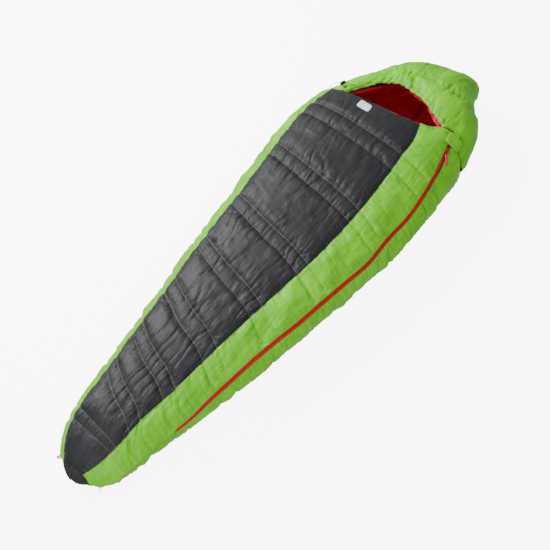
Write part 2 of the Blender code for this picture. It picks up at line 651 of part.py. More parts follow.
LOCK_S, LOCK_P = 0.902, 138.0
_c = wall(LOCK_S, LOCK_P, 0.0)
LOCK_T = (wall(LOCK_S, LOCK_P + 14, 0.0) - wall(LOCK_S, LOCK_P - 3, 0.0)).normalized()     # along the cord, away from the hem
_along = (wall(LOCK_S + 0.01, LOCK_P, 0.0) - wall(LOCK_S - 0.01, LOCK_P, 0.0)).normalized()
LOCK_N = LOCK_T.cross(_along).normalized()
if LOCK_N.z < 0:
    LOCK_N = -LOCK_N
LOCK_Y = LOCK_N.cross(LOCK_T).normalized()
LOCK_LIFT = 0.0125
SEG_A = _c + LOCK_N * LOCK_LIFT - LOCK_T * 0.026
SEG_B = _c + LOCK_N * LOCK_LIFT + LOCK_T * 0.040
route = [wall(0.9140, 127.0, -0.0030), wall(0.9080, 129.0, -0.0062), SEG_A, SEG_A.lerp(SEG_B, 0.2), SEG_A.lerp(SEG_B, 0.4),
         SEG_A.lerp(SEG_B, 0.6), SEG_A.lerp(SEG_B, 0.8), SEG_B,
         wall(0.901, 158.5, -0.0075), wall(0.898, 164.0, -0.0035), wall(0.894, 170.0, -0.0030), wall(0.889, 175.0, -0.0030), wall(0.883, 179.0, -0.0030)]


def smooth_route(pts, step):
    """Points every step along a smooth curve through pts."""
    dense = []
    for i in range(len(pts) - 1):
        a, b, c, d = pts[max(i - 1, 0)], pts[i], pts[i + 1], pts[min(i + 2, len(pts) - 1)]
        for k in range(12):
            t = k / 12
            dense.append(0.5 * (2 * b + (c - a) * t + (2 * a - 5 * b + 4 * c - d) * t * t + (3 * b - a - 3 * c + d) * t**3))
    dense.append(pts[-1])
    run = [0.0]
    for p, q in zip(dense, dense[1:]):
        run.append(run[-1] + (q - p).length)
    n = max(2, round(run[-1] / step))
    out, k = [], 0
    for i in range(n + 1):
        want = run[-1] * i / n
        while k < len(run) - 2 and run[k + 1] < want:
            k += 1
        f = (want - run[k]) / max(run[k + 1] - run[k], 1e-9)
        out.append(dense[k].lerp(dense[k + 1], min(max(f, 0.0), 1.0)))
    return out, run[-1]


tail, TAIL_LEN = smooth_route(route, 0.0055)
tube("drawcord_tail", tail, CORD_R, BLACK, 0.7)
knot_bm = bmesh.new()
bmesh.ops.create_uvsphere(knot_bm, u_segments=12, v_segments=8, radius=0.0034)
bmesh.ops.scale(knot_bm, vec=(0.9, 0.9, 1.15), verts=knot_bm.verts[:])
knot = bm_object("cord_knot", knot_bm, BLACK, 0.7)
_end = (tail[-1] - tail[-2]).normalized()
knot.matrix_world = Matrix.Translation(tail[-1] + _end * 0.0043) @ _end.to_track_quat("Z", "Y").to_matrix().to_4x4()

# cord lock: barrel, spring and button; the cord passes through the cross hole
LOCK_O = _c + LOCK_N * LOCK_LIFT
lock_m = Matrix((LOCK_T, LOCK_N.cross(LOCK_T) * -1, LOCK_N)).transposed().to_4x4()
lock_m = Matrix((LOCK_T, LOCK_N, LOCK_T.cross(LOCK_N))).transposed().to_4x4()   # x along the cord, y outwards, z along the barrel
lock_m.translation = LOCK_O
if lock_m.col[2].to_3d().y < 0:
    lock_m = lock_m @ Matrix.Rotation(math.pi, 4, "X")


def cyl(r, z0, z1, seg=20):
    bm = bmesh.new()
    bmesh.ops.create_cone(bm, cap_ends=True, segments=seg, radius1=r, radius2=r, depth=z1 - z0,
                          matrix=Matrix.Translation((0, 0, (z0 + z1) / 2)))
    return bm


HOLE_Z = 0.0
lock = bm_object("cord_lock", cyl(0.0072, -0.0110, 0.0065), BLACK, 0.45)
lock.matrix_world = lock_m
bore = bm_object("cut_bore", cyl(0.0052, -0.0090, 0.0100), BLACK, 0.5, coll=CUT)
bore.parent = lock
boolean(lock, bore)
hole = bm_object("cut_hole", cyl(0.0022, -0.0200, 0.0200, 14), BLACK, 0.5, coll=CUT)
hole.parent = lock
hole.rotation_euler = (0, math.pi / 2, 0)
boolean(lock, hole)
button = bm_object("lock_button", cyl(0.0047, -0.0036, 0.0112), (0.02, 0.02, 0.02), 0.4)
button.matrix_world = lock_m
bslot = bm_object("cut_button_slot", block((0.0300, 0.0046, 0.0084), (0, 0, 0.0018)), BLACK, 0.5, coll=CUT)
bslot.parent = button
boolean(button, bslot)
BUTTON_TRAVEL = 0.0030
spring_pts = []
for k in range(4 * 10 + 1):
    a = 2 * math.pi * k / 10
    spring_pts.append(lock_m @ Vector((0.0034 * math.cos(a), 0.0034 * math.sin(a), -0.0084 + 0.0012 * k / 40)))
# flat wound so that it stays clear of the pressed button
tube("lock_spring", [lock_m @ Vector((0.0034 * math.cos(2 * math.pi * k / 14), 0.0034 * math.sin(2 * math.pi * k / 14),
                                      -0.0085 + 0.00085 * k / 14)) for k in range(21)], 0.00028, (0.5, 0.5, 0.5), 0.3, 1)


# --------------------------------------------------------------- hanging loops at the foot
def strap(name, s, phi, colour):
    """A folded webbing loop standing off the seam."""
    c = wall(s, phi, 0.0)
    n = (wall(s, phi, -0.01) - c).normalized()
    t = (wall(s + 0.03, phi, 0.0) - wall(s - 0.03, phi, 0.0)).normalized()
    t = (t - n * t.dot(n)).normalized()
    w = n.cross(t)
    path = []
    for k in range(13):
        if k < 3:
            path.append((-0.0035, 0.0008 + 0.006 * k, 0.0))
        elif k > 9:
            path.append((0.0035, 0.0008 + 0.006 * (12 - k), math.pi))
        else:
            a = math.pi * (k - 3) / 6
            path.append((-0.0035 * math.cos(a), 0.0158 + 0.0035 * math.sin(a), a))
    rings = []
    for x, h, a in path:
        out = t * -math.cos(a) + n * math.sin(a)
        p = c + t * x + n * h
        rings.append([p + w * sw * 0.005 + out * so * 0.0005 for sw, so in ((-1, -1), (1, -1), (1, 1), (-1, 1))])
    bm = bmesh.new()
    vs = [[bm.verts.new(p) for p in r] for r in rings]
    for a, b in zip(vs, vs[1:]):
        for i in range(4):
            bm.faces.new((a[i], a[(i + 1) % 4], b[(i + 1) % 4], b[i]))
    bm.faces.new(vs[0][::-1])
    bm.faces.new(vs[-1])
    bmesh.ops.triangulate(bm, faces=bm.faces[:])
    return bm_object(name, bm, colour, 0.8)


strap("hang_loop_right", -0.60, -22.0, WHITE)
strap("hang_loop_left", -0.60, 196.0, WHITE)

# empties that mark the joints
for nm, at, ax in (("axis_corner", AX0, -FOLD_DIR), ("axis_slider", ZIP_C, -ZIP_K), ("axis_tab", TAB_A, (TAB_B - TAB_A).normalized()),
                   ("axis_lock", LOCK_O, LOCK_T), ("axis_button", LOCK_O, -lock_m.col[2].to_3d().normalized())):
    e = bpy.data.objects.new(nm, None)
    e.location = at
    e.rotation_mode = "QUATERNION"
    e.rotation_quaternion = ax.to_track_quat("Z", "Y")
    BAG.objects.link(e)
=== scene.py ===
"""Looks of the mummy sleeping bag: quilted nylon shells, lining, zip, hood, cords and label."""

import json
import math

import bmesh
import bpy
import numpy as np
from mathutils import Matrix, Vector


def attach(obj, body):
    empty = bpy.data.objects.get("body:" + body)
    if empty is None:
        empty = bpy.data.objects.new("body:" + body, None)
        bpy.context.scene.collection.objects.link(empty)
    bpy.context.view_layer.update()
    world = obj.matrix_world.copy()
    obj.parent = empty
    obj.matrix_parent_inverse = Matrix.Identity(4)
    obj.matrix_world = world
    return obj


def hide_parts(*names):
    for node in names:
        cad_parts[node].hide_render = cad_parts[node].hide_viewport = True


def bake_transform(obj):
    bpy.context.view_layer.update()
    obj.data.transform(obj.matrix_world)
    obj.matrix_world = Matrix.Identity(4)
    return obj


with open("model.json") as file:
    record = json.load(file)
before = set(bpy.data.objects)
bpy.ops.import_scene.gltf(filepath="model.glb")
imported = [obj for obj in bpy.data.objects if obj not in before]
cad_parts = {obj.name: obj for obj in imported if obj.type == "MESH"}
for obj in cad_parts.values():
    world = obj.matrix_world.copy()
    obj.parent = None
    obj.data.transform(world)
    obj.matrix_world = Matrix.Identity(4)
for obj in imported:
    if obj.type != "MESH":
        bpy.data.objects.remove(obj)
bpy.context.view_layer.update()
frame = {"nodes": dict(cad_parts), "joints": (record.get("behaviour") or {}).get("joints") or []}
SCENE = bpy.context.scene
NODES = frame["nodes"]
JOINT = {j["name"]: j for j in frame["joints"]}

# --------------------------------------------------------------- the bag's surface, as in the CAD
FOOT_Y, HEAD_Y, FOOT_CAP, HEAD_CAP = -1.092, 1.092, 0.28, 0.20
X_OFF, Y_OFF = 0.03235, -0.0076
STATION_Y = (-1.10, -1.00, -0.85, -0.65, -0.40, -0.15, 0.10, 0.35, 0.55, 0.70, 0.85, 1.00, 1.10)
HALF_WIDTH = (0.185, 0.175, 0.162, 0.196, 0.230, 0.269, 0.307, 0.336, 0.338, 0.315, 0.249, 0.179, 0.200)
CENTRE_X = (0.000, -0.004, -0.012, -0.011, -0.015, -0.019, -0.016, -0.024, -0.036, -0.031, -0.022, -0.043, 0.0)
LOFT = (0.200, 0.205, 0.205, 0.205, 0.215, 0.225, 0.235, 0.250, 0.255, 0.250, 0.245, 0.225, 0.210)
WIDEST, HOOD_SKEW = 0.44, 0.30
P_SIDE, P_TOP, P_BOTTOM = 0.82, 0.82, 0.62
ZIP_LOW, ZIP_TOP, ZIP_SAG, ZIP_TILT = (0.160, -0.747, 0.115), (0.209, 0.732, 0.211), 0.083, math.radians(42)
S_ZIP_LOW, S_ZIP_TOP = 0.036, 0.890
Y0, Y1 = FOOT_Y + FOOT_CAP, HEAD_Y - HEAD_CAP


def tab(xs, ys, x):
    """Smooth curve through stations, for arrays."""
    xs, ys, x = np.asarray(xs, float), np.asarray(ys, float), np.asarray(x, float)
    n = len(xs)
    m = np.empty(n)
    m[0], m[-1] = (ys[1] - ys[0]) / (xs[1] - xs[0]), (ys[-1] - ys[-2]) / (xs[-1] - xs[-2])
    h0, h1 = xs[1:-1] - xs[:-2], xs[2:] - xs[1:-1]
    m[1:-1] = ((ys[1:-1] - ys[:-2]) / h0 * h1 + (ys[2:] - ys[1:-1]) / h1 * h0) / (h0 + h1)
    i = np.clip(np.searchsorted(xs, x, side="left") - 1, 0, n - 2)
    h = xs[i + 1] - xs[i]
    t = np.clip((x - xs[i]) / h, 0.0, 1.0)
    return ((2 * t**3 - 3 * t * t + 1) * ys[i] + (t**3 - 2 * t * t + t) * h * m[i]
            + (3 * t * t - 2 * t**3) * ys[i + 1] + (t**3 - t * t) * h * m[i + 1])


def sstep(t):
    t = np.clip(t, 0.0, 1.0)
    return t * t * (3 - 2 * t)


_A, _B = np.array(ZIP_LOW), np.array(ZIP_TOP)
E1 = (_B - _A) / np.linalg.norm(_B - _A)
E2 = np.array([1.0, 0, 0]) - E1 * E1[0]
E2 /= np.linalg.norm(E2)
_C2 = np.linalg.norm(_B - _A) / 2
ZIP_R = (_C2**2 + ZIP_SAG**2) / (2 * ZIP_SAG)
ZIP_C = (_A + _B) / 2 + E2 * (ZIP_SAG - ZIP_R) + np.array([X_OFF, Y_OFF, 0])
ZIP_H = math.asin(_C2 / ZIP_R)
ZIP_K = np.cross(E2, E1)
ZIP_K /= np.linalg.norm(ZIP_K)
ZIP_UP = ZIP_K if ZIP_K[2] > 0 else -ZIP_K


def zip_frame(th):
    """Point, tangent, width direction and outward normal of the zip's arc at angle th (array)."""
    th = np.asarray(th, float)[..., None]
    rho, tan = E2 * np.cos(th) + E1 * np.sin(th), E1 * np.cos(th) - E2 * np.sin(th)
    nrm = rho * math.cos(ZIP_TILT) + ZIP_UP * math.sin(ZIP_TILT)
    wid = -rho * math.sin(ZIP_TILT) + ZIP_UP * math.cos(ZIP_TILT)
    return ZIP_C + rho * ZIP_R, tan, wid, nrm


def length_at(s):
    pf, ph = np.clip(-s, 0, 1) * math.pi / 2, np.clip(s - 1, 0, 1) * math.pi / 2
    y = Y0 + (Y1 - Y0) * np.clip(s, 0, 1) - FOOT_CAP * np.sin(pf) + HEAD_CAP * np.sin(ph)
    return y, np.maximum(np.cos(pf), 0)**1.3 * np.maximum(np.cos(ph), 0)**0.72, pf, ph


def section(s, phi, d):
    s, phi = np.broadcast_arrays(np.asarray(s, float), np.asarray(phi, float))
    ys, sc, pf, ph = length_at(s)
    inset = d * np.cos(pf) * np.cos(ph)
    y = ys + d * np.sin(pf) - d * np.sin(ph)
    a, xc, top = tab(STATION_Y, HALF_WIDTH, ys), tab(STATION_Y, CENTRE_X, ys), tab(STATION_Y, LOFT, ys)
    zm = WIDEST * top
    c, si = np.cos(np.radians(phi)), np.sin(np.radians(phi))
    x = xc + (a * sc - inset) * np.sign(c) * np.abs(c)**P_SIDE
    up = zm + ((top - zm) * sc - inset) * np.abs(si)**P_TOP
    dn = np.maximum(d, zm - (1.10 * zm * sc**0.8 - inset) * np.abs(si)**P_BOTTOM)
    z = np.where(si >= 0, up, dn)
    w = sstep((ys - 0.60) / 0.45)
    return x, y + HOOD_SKEW * w * (x - xc), z, zm, top, sc


_th = np.linspace(-ZIP_H * 1.02, ZIP_H * 1.02, 1200)
_zp = zip_frame(_th)[0]


def _zip_angle(s):
    q = np.clip(s, S_ZIP_LOW, S_ZIP_TOP)
    y, sc, _, _ = length_at(q)
    want = y + Y_OFF + HOOD_SKEW * sstep((y - 0.60) / 0.45) * 0.235
    px, pz = np.interp(want, _zp[:, 1], _zp[:, 0]), np.interp(want, _zp[:, 1], _zp[:, 2])
    _, _, _, zm, top, sc = section(q, 0.0, 0.0)
    phi = np.degrees(np.arcsin(np.clip((pz - zm) / ((top - zm) * sc), 0.01, 0.98)**(1 / P_TOP)))
    pull = px - X_OFF - section(q, phi, 0.0)[0]
    return phi, pull * sstep((s - S_ZIP_LOW + 0.25) / 0.25) * sstep((S_ZIP_TOP + 0.12 - s) / 0.12)


_zs = np.linspace(-1.0, 2.0, 3001)
_zphi, _zpull = _zip_angle(_zs)


def zip_phi(s):
    """Angle of the zip's arc on the section at s."""
    return np.interp(s, _zs, _zphi)


def wall(s, phi, d=0.0):
    """Points of the wall: s along the bag, phi round it in degrees, d metres below the outer face."""
    s, phi, d = np.broadcast_arrays(np.asarray(s, float), np.asarray(phi, float), np.asarray(d, float))
    x, y, z, _, _, _ = section(s, phi, d)
    dp = (phi - np.interp(s, _zs, _zphi) + 180) % 360 - 180
    x = x + np.interp(s, _zs, _zpull) * np.exp(-(dp / 26.0)**2)
    return np.stack([x + X_OFF, y + Y_OFF, z], -1)


def seam_right_bottom(s):
    return tab((-1, 0.0, 0.5, 0.8, 1.2), (-24, -24, -17, -12, -12), s)


def seam_dark_green(s):
    return tab((-1, -0.6, -0.1, 0.15, 0.40, 0.66, 0.80, 0.86, 0.905, 1.2), (58, 59, 60, 64, 63, 65, 67, 69, 74, 76), s)


def seam_left(s):
    return tab((-1, 0.08, 0.34, 0.69, 0.88, 1.2), (146, 146, 148, 148, 150, 152), s)


def neck_s(phi):
    phi = (np.asarray(phi, float) + 90) % 360 - 90
    return tab((-90, 0, 12, 26, 38, 50, 57, 67, 74, 92, 107, 121, 156, 200, 270),
               (0.900, 0.900, 0.899, 0.908, 0.925, 0.928, 0.923, 0.908, 0.902, 0.890, 0.886, 0.885, 0.884, 0.890, 0.900), phi)


OPEN_R, OPEN_L = 56.0, 131.0


def hem_s(phi):
    phi = (np.asarray(phi, float) + 90) % 360 - 90
    base = neck_s(phi) + 0.0040
    h = tab((56, 62, 70.7, 83, 93, 102, 116, 124, 128, 131), (0.927, 0.933, 0.942, 0.958, 0.972, 0.978, 0.972, 0.955, 0.930, 0.889), phi)
    return np.where((phi <= OPEN_R) | (phi >= OPEN_L), base, np.maximum(h, base))


# --------------------------------------------------------------- camera first
CAM_AZ, CAM_EL, CAM_D = math.radians(39.3), math.radians(58.0), 4.641366
CAM_T = Vector((0.023345 + X_OFF, -0.061902 + Y_OFF, 0.1))
back = Vector((math.sin(CAM_AZ) * math.cos(CAM_EL), -math.cos(CAM_AZ) * math.cos(CAM_EL), math.sin(CAM_EL)))
cam_data = bpy.data.cameras.new("camera")
cam_data.lens, cam_data.sensor_width, cam_data.clip_end = 85.0, 36.0, 60.0
cam = bpy.data.objects.new("camera", cam_data)
cam.location = CAM_T + back * CAM_D
cam.rotation_mode = "QUATERNION"
cam.rotation_quaternion = back.to_track_quat("Z", "Y")
SCENE.collection.objects.link(cam)
SCENE.camera = cam


# --------------------------------------------------------------- seeded noise
def lattice(seed, n=64):
    return np.random.RandomState(seed).rand(n, n) * 2 - 1


def noise2(x, y, seed):
    """Smooth value noise, -1..1."""
    g = lattice(seed)
    n = g.shape[0]
    x, y = np.asarray(x, float), np.asarray(y, float)
    xi, yi = np.floor(x).astype(int), np.floor(y).astype(int)
    fx, fy = x - xi, y - yi
    fx, fy = fx * fx * (3 - 2 * fx), fy * fy * (3 - 2 * fy)
    a, b = g[xi % n, yi % n], g[(xi + 1) % n, yi % n]
    c, d = g[xi % n, (yi + 1) % n], g[(xi + 1) % n, (yi + 1) % n]
    return (a * (1 - fx) + b * fx) * (1 - fy) + (c * (1 - fx) + d * fx) * fy


def fold_noise(u, w, seed):
    """Sharp little folds: ridges across u that wander along w."""
    bend = 0.35 * noise2(u * 0.35 + 3.1, w * 0.8 + 1.7, seed + 5)
    a = noise2(u + bend, w, seed)
    b = noise2(u * 2.1 + bend * 2 + 7.7, w * 1.6 + 4.2, seed + 1)
    return (1 - 2.2 * np.abs(a)) * 0.7 + (1 - 2.2 * np.abs(b)) * 0.3


# --------------------------------------------------------------- where the seams run
# seams are level lines of v; v is s, tilted a little round the bag
PAIRS = ((-0.335, -0.245), (0.008, 0.040), (0.099, 0.132), (0.209, 0.249), (0.338, 0.371), (0.470, 0.500), (0.627, 0.660), (0.773, 0.813))
SEAM_V = [v for p in PAIRS for v in p]


TILT_Y = (0.0, 0.0, 0.018, 0.119, 0.119, 0.102, 0.085, 0.068, 0.017, 0.0, 0.0)     # the same tilt in metres
TILT_VY = (-1.0, -0.7, -0.30, 0.0, 0.25, 0.35, 0.50, 0.65, 0.81, 0.88, 2.0)
PER_FOOT = FOOT_CAP * math.pi / 2


def s_of(v, phi):
    y = np.where(v < 0, v * PER_FOOT, v * (Y1 - Y0))
    y = y + np.interp(v, TILT_VY, TILT_Y) * np.clip((phi - 106) / 72.0, -0.9, 0.75)
    return np.where(y < 0, y / PER_FOOT, y / (Y1 - Y0))


ZIP_OFF_S = (-0.30, 0.040, 0.064, 0.120, 0.179, 0.239, 0.301, 0.365, 0.429, 0.496, 0.565, 0.634, 0.706, 0.778, 0.851, 0.880, 0.895, 1.2)
ZIP_OFF_P = (0.0, 0.0, 1.4, 9.0, 12.0, 13.2, 11.8, 8.8, 6.3, 2.1, -3.6, -3.0, -6.6, -6.0, -3.0, -0.6, 0.0, 0.0)


def zip_line(s):
    """The zip as it lies: the arc with the slack waves of the real fabric, none at its two ends."""
    return zip_phi(s) + tab(ZIP_OFF_S, ZIP_OFF_P, s)


def mm_per_deg(s, phi):
    a = wall(s, phi - 0.5, 0.0) - wall(s, phi + 0.5, 0.0)
    return np.linalg.norm(a, axis=-1)


def spaced(keys, step):
    """Parameters from key to key, every key included, with the index of each key."""
    out, idx = [keys[0]], [0]
    for a, b in zip(keys, keys[1:]):
        n = max(2, int(round((b - a) / step)))
        out += [a + (b - a) * k / n for k in range(1, n + 1)]
        idx.append(len(out) - 1)
    return np.array(out), idx


# --------------------------------------------------------------- sheets of cloth
ROLL = ((-0.0075, 0.0065), (-0.0042, 0.0060), (-0.0018, 0.0078), (-0.0004, 0.0108), (0.0000, 0.0140),
        (-0.0004, 0.0172), (-0.0018, 0.0200), (-0.0045, 0.0216))      # how a free edge turns in: along s, depth


def grid_mesh(name, P, wrap=False):
    """A quad mesh from a grid of points."""
    ni, nj = P.shape[:2]
    me = bpy.data.meshes.new(name)
    idx = np.arange(ni * nj).reshape(ni, nj)
    a, b, c, d = idx[:-1, :-1], idx[:-1, 1:], idx[1:, 1:], idx[1:, :-1]
    quads = np.stack([a, d, c, b], -1).reshape(-1, 4)
    if wrap:
        w = np.stack([idx[:-1, -1], idx[1:, -1], idx[1:, 0], idx[:-1, 0]], -1).reshape(-1, 4)
        quads = np.concatenate([quads, w])
    me.vertices.add(ni * nj)
    me.vertices.foreach_set("co", P.reshape(-1).astype(np.float32))
    me.loops.add(len(quads) * 4)
    me.loops.foreach_set("vertex_index", quads.reshape(-1).astype(np.int32))
    me.polygons.add(len(quads))
    me.polygons.foreach_set("loop_start", (np.arange(len(quads)) * 4).astype(np.int32))
    me.update(calc_edges=True)
    me.validate()
    return me


def metre_uv(P, wrap=False):
    """Cloth coordinates of every grid point: metres round the bag and metres along it."""
    du = np.linalg.norm(np.diff(P, axis=1), axis=-1)
    u = np.concatenate([np.zeros((P.shape[0], 1)), np.cumsum(du, 1)], 1)
    mid = u.shape[1] // 2
    u = u - u[:, mid:mid + 1]
    dv = np.linalg.norm(np.diff(P, axis=0), axis=-1).mean(1)
    v = np.concatenate([[0], np.cumsum(dv)])
    return u, np.broadcast_to(v[:, None], u.shape)


def add_uv(me, u, v):
    uv = me.uv_layers.new(name="cloth")
    li = np.empty(len(me.loops), np.int32)
    me.loops.foreach_get("vertex_index", li)
    co = np.stack([u.reshape(-1)[li], v.reshape(-1)[li]], -1)
    uv.data.foreach_set("uv", co.reshape(-1).astype(np.float32))


def add_attr(me, name, values):
    a = me.attributes.new(name, "FLOAT", "POINT")
    a.data.foreach_set("value", np.asarray(values, np.float32).reshape(-1))


def put(name, me, coll=None):
    ob = bpy.data.objects.new(name, me)
    SCENE.collection.objects.link(ob)
    me.polygons.foreach_set("use_smooth", np.ones(len(me.polygons), bool))
    return ob


def normals_of(P, wrap=False):
    gu = np.gradient(P, axis=1) if not wrap else (np.roll(P, -1, 1) - np.roll(P, 1, 1)) / 2
    gv = np.gradient(P, axis=0)
    n = np.cross(gu, gv)
    return n / np.maximum(np.linalg.norm(n, axis=-1, keepdims=True), 1e-12)


class Sheet:
    """A cloth panel as a grid over (rows along the bag) x (columns round it)."""

    def __init__(self, name, S, PHI, D, pin, shrink, wrap=False):
        self.name, self.S, self.PHI, self.D = name, S, PHI, D
        self.pin, self.shrink, self.wrap = pin, shrink, wrap
        self.base = wall(S, PHI, D)
        self.out = self.base - wall(S, PHI, D + 0.01)
        self.out /= np.maximum(np.linalg.norm(self.out, axis=-1, keepdims=True), 1e-9)
        self.P = self.base.copy()
        self.u, self.v = metre_uv(self.base, wrap)


def run_cloth(sheets, frames=20, pressure=100.0):
    """All the panels swell together between their sewn lines; the result is read back into each grid."""
    obs = []
    for sh in sheets:
        ob = put("sim_" + sh.name, grid_mesh("sim_" + sh.name, sh.P, sh.wrap))
        g = ob.vertex_groups.new(name="pin")
        flat = sh.pin.reshape(-1)
        for w in np.unique(np.round(flat, 2)):
            if w > 0:
                g.add(np.nonzero(np.round(flat, 2) == w)[0].tolist(), float(w), "REPLACE")
        k = ob.vertex_groups.new(name="shrink")
        flat = np.round(1 - sh.shrink.reshape(-1) / 0.16, 2)     # shrink is the share of spare cloth
        for w in np.unique(flat):
            if w > 0:
                k.add(np.nonzero(flat == w)[0].tolist(), float(w), "REPLACE")
        m = ob.modifiers.new("cloth", "CLOTH")
        c = m.settings
        c.quality = 5
        c.mass = 0.15
        c.air_damping = 1.0
        c.tension_stiffness = 12.0
        c.compression_stiffness = 12.0
        c.shear_stiffness = 4.0
        c.bending_stiffness = 0.02
        c.tension_damping = c.compression_damping = c.shear_damping = 3.0
        c.vertex_group_mass = "pin"
        c.pin_stiffness = 1.0
        c.vertex_group_shrink = "shrink"
        c.shrink_min, c.shrink_max = -0.16, 0.0
        c.use_pressure = True
        c.uniform_pressure_force = pressure
        c.effector_weights.gravity = 0.0
        m.collision_settings.use_collision = False
        m.collision_settings.use_self_collision = False
        m.point_cache.frame_start, m.point_cache.frame_end = 1, frames
        obs.append(ob)
    for f in range(1, frames + 1):
        SCENE.frame_set(f)
    dg = bpy.context.evaluated_depsgraph_get()
    for sh, ob in zip(sheets, obs):
        me = ob.evaluated_get(dg).data
        co = np.empty(len(me.vertices) * 3, np.float32)
        me.vertices.foreach_get("co", co)
        sh.P = co.reshape(sh.P.shape).astype(float)
    for ob in obs:
        me = ob.data
        bpy.data.objects.remove(ob, do_unlink=True)
        bpy.data.meshes.remove(me)
    SCENE.frame_set(1)


def foot_aware_rows(keys, step):
    """Rows from key to key about step metres apart, closer in s where the body is, wider in the foot end."""
    out, idx = [keys[0]], [0]
    for a, b in zip(keys, keys[1:]):
        ya, yb = length_at(np.array(a))[0], length_at(np.array(b))[0]
        n = max(2, int(round(abs(yb - ya) / step)))
        out += [a + (b - a) * k / n for k in range(1, n + 1)]
        idx.append(len(out) - 1)
    return np.array(out), idx


def lane_grid(lanes, counts, v_rows, neck, end_of):
    """S and PHI of a panel. lanes: functions of s. Rows up to the last v are level seams; neck rows run on to end_of(phi)."""
    c = []
    for i, n in enumerate(counts):
        c += [i + k / n for k in range(n)]
    c.append(float(len(counts)))
    c = np.array(c)
    i = np.minimum(c.astype(int), len(counts) - 1)
    f = c - i
    V = v_rows[:, None] + 0 * c[None, :]
    PHI = np.full(V.shape, 100.0)
    S = V.copy()

    def angles(S):
        keys = np.stack([lane(S) for lane in lanes], 0)
        a = np.take_along_axis(keys, np.broadcast_to(i[None, None, :], (1,) + S.shape), 0)[0]
        b = np.take_along_axis(keys, np.broadcast_to(i[None, None, :] + 1, (1,) + S.shape), 0)[0]
        return a + (b - a) * f

    for _ in range(6):
        PHI = angles(S)
        S = s_of(V, (PHI + 90) % 360 - 90)
    rows = [S]
    last = S[-1]
    end = last.copy()
    for _ in range(6):
        end = end_of(angles(end[None])[0])
    N = last[None] + (end - last)[None] * neck[:, None]
    S = np.concatenate([S, N], 0)
    PHI = angles(S)
    return S, PHI, c


STEP = 0.0070
V_KEYS = [-0.704] + SEAM_V
V_ROWS, V_IDX = foot_aware_rows(V_KEYS, STEP)
SEAM_ROWS = V_IDX[1:]
N_NECK = 20
NECK = np.arange(1, N_NECK + 1) / N_NECK


def zip_depth(s):
    """How deep the zip sits between the two puffed edges; level with the CAD arc at its ends."""
    k = sstep((s - 0.045) / 0.06) * sstep((0.868 - s) / 0.05)
    return 0.0030 * k


BASE_D, SEAM_D, LONG_D = 0.0045, 0.0068, 0.0060
EDGE_W = 0.0082                       # from the middle of the zip to the cloth edge on each side


def near(x, centre, w):
    return np.exp(-((x - centre) / w)**2)


def seam_distance(P, rows):
    """Metres along the cloth from every grid point to the nearest of the given rows."""
    dv = np.linalg.norm(np.diff(P, axis=0), axis=-1)
    v = np.concatenate([np.zeros((1, P.shape[1])), np.cumsum(dv, 0)], 0)
    return np.min(np.stack([np.abs(v - v[r][None]) for r in rows], 0), 0)


def column_distance(P, col):
    du = np.linalg.norm(np.diff(P, axis=1), axis=-1)
    u = np.concatenate([np.zeros((P.shape[0], 1)), np.cumsum(du, 1)], 1)
    return np.abs(u - u[:, col:col + 1])


def slot_half(s):
    """Half width of the slot for the zip; past its ends the two panels meet in a seam."""
    w = 0.0002 + (EDGE_W - 0.0002) * sstep((s - 0.034) / 0.010) * sstep((0.906 - s) / 0.012)
    return w / np.maximum(mm_per_deg(s, zip_line(s)), 1e-4)


def upper_edge(s):
    return zip_line(s) + slot_half(s)


def lower_edge(s):
    return zip_line(s) - slot_half(s)

# top sheet: from the zip over the dark panel and the left side, down to the bottom seam
N_ZG, N_DK, N_LF = 24, 60, 22
tS, tPHI, tC = lane_grid((upper_edge, seam_dark_green, lambda s: seam_left(s) - 3.5, lambda s: 198.0 + 0 * s), (N_ZG, N_DK, N_LF), V_ROWS, NECK, neck_s)
rS, rPHI, rC = lane_grid((seam_right_bottom, lower_edge), (18,), V_ROWS, NECK, neck_s)
bS, bPHI, bC = lane_grid((lambda s: 198.0 + 0 * s, lambda s: 360.0 + seam_right_bottom(s)), (30,), V_ROWS, NECK, neck_s)


def free_edge(phi, low, high):
    """1 where the neck edge is free, 0 where the wall is sewn to the hood."""
    phi = (np.asarray(phi, float) + 90) % 360 - 90
    return sstep((high + 5 - phi) / 5.0) * sstep((phi - low + 5) / 5.0)


def rimmed(S, PHI, D, low, high, at_start=False):
    rs, rd = np.array([r[0] for r in ROLL]), np.array([r[1] for r in ROLL])
    row = 0 if at_start else -1
    r = free_edge(PHI[row], low, high)[None]
    k = np.linspace(0, 1, len(ROLL))[:, None]
    ds = rs[:, None] * r + (1 - r) * (-0.004 + 0.006 * k)
    dd = rd[:, None] * r + (1 - r) * 0.0080
    if at_start:
        S2, P2, D2 = S[0][None] - ds[::-1], np.broadcast_to(PHI[0], (len(ROLL), S.shape[1])), dd[::-1]
        return np.concatenate([S2, S[1:]], 0), np.concatenate([P2, PHI[1:]], 0), np.concatenate([D2, D[1:]], 0)
    S2, P2 = S[-1][None] + ds, np.broadcast_to(PHI[-1], (len(ROLL), S.shape[1]))
    return np.concatenate([S[:-1], S2], 0), np.concatenate([PHI[:-1], P2], 0), np.concatenate([D[:-1], dd], 0)


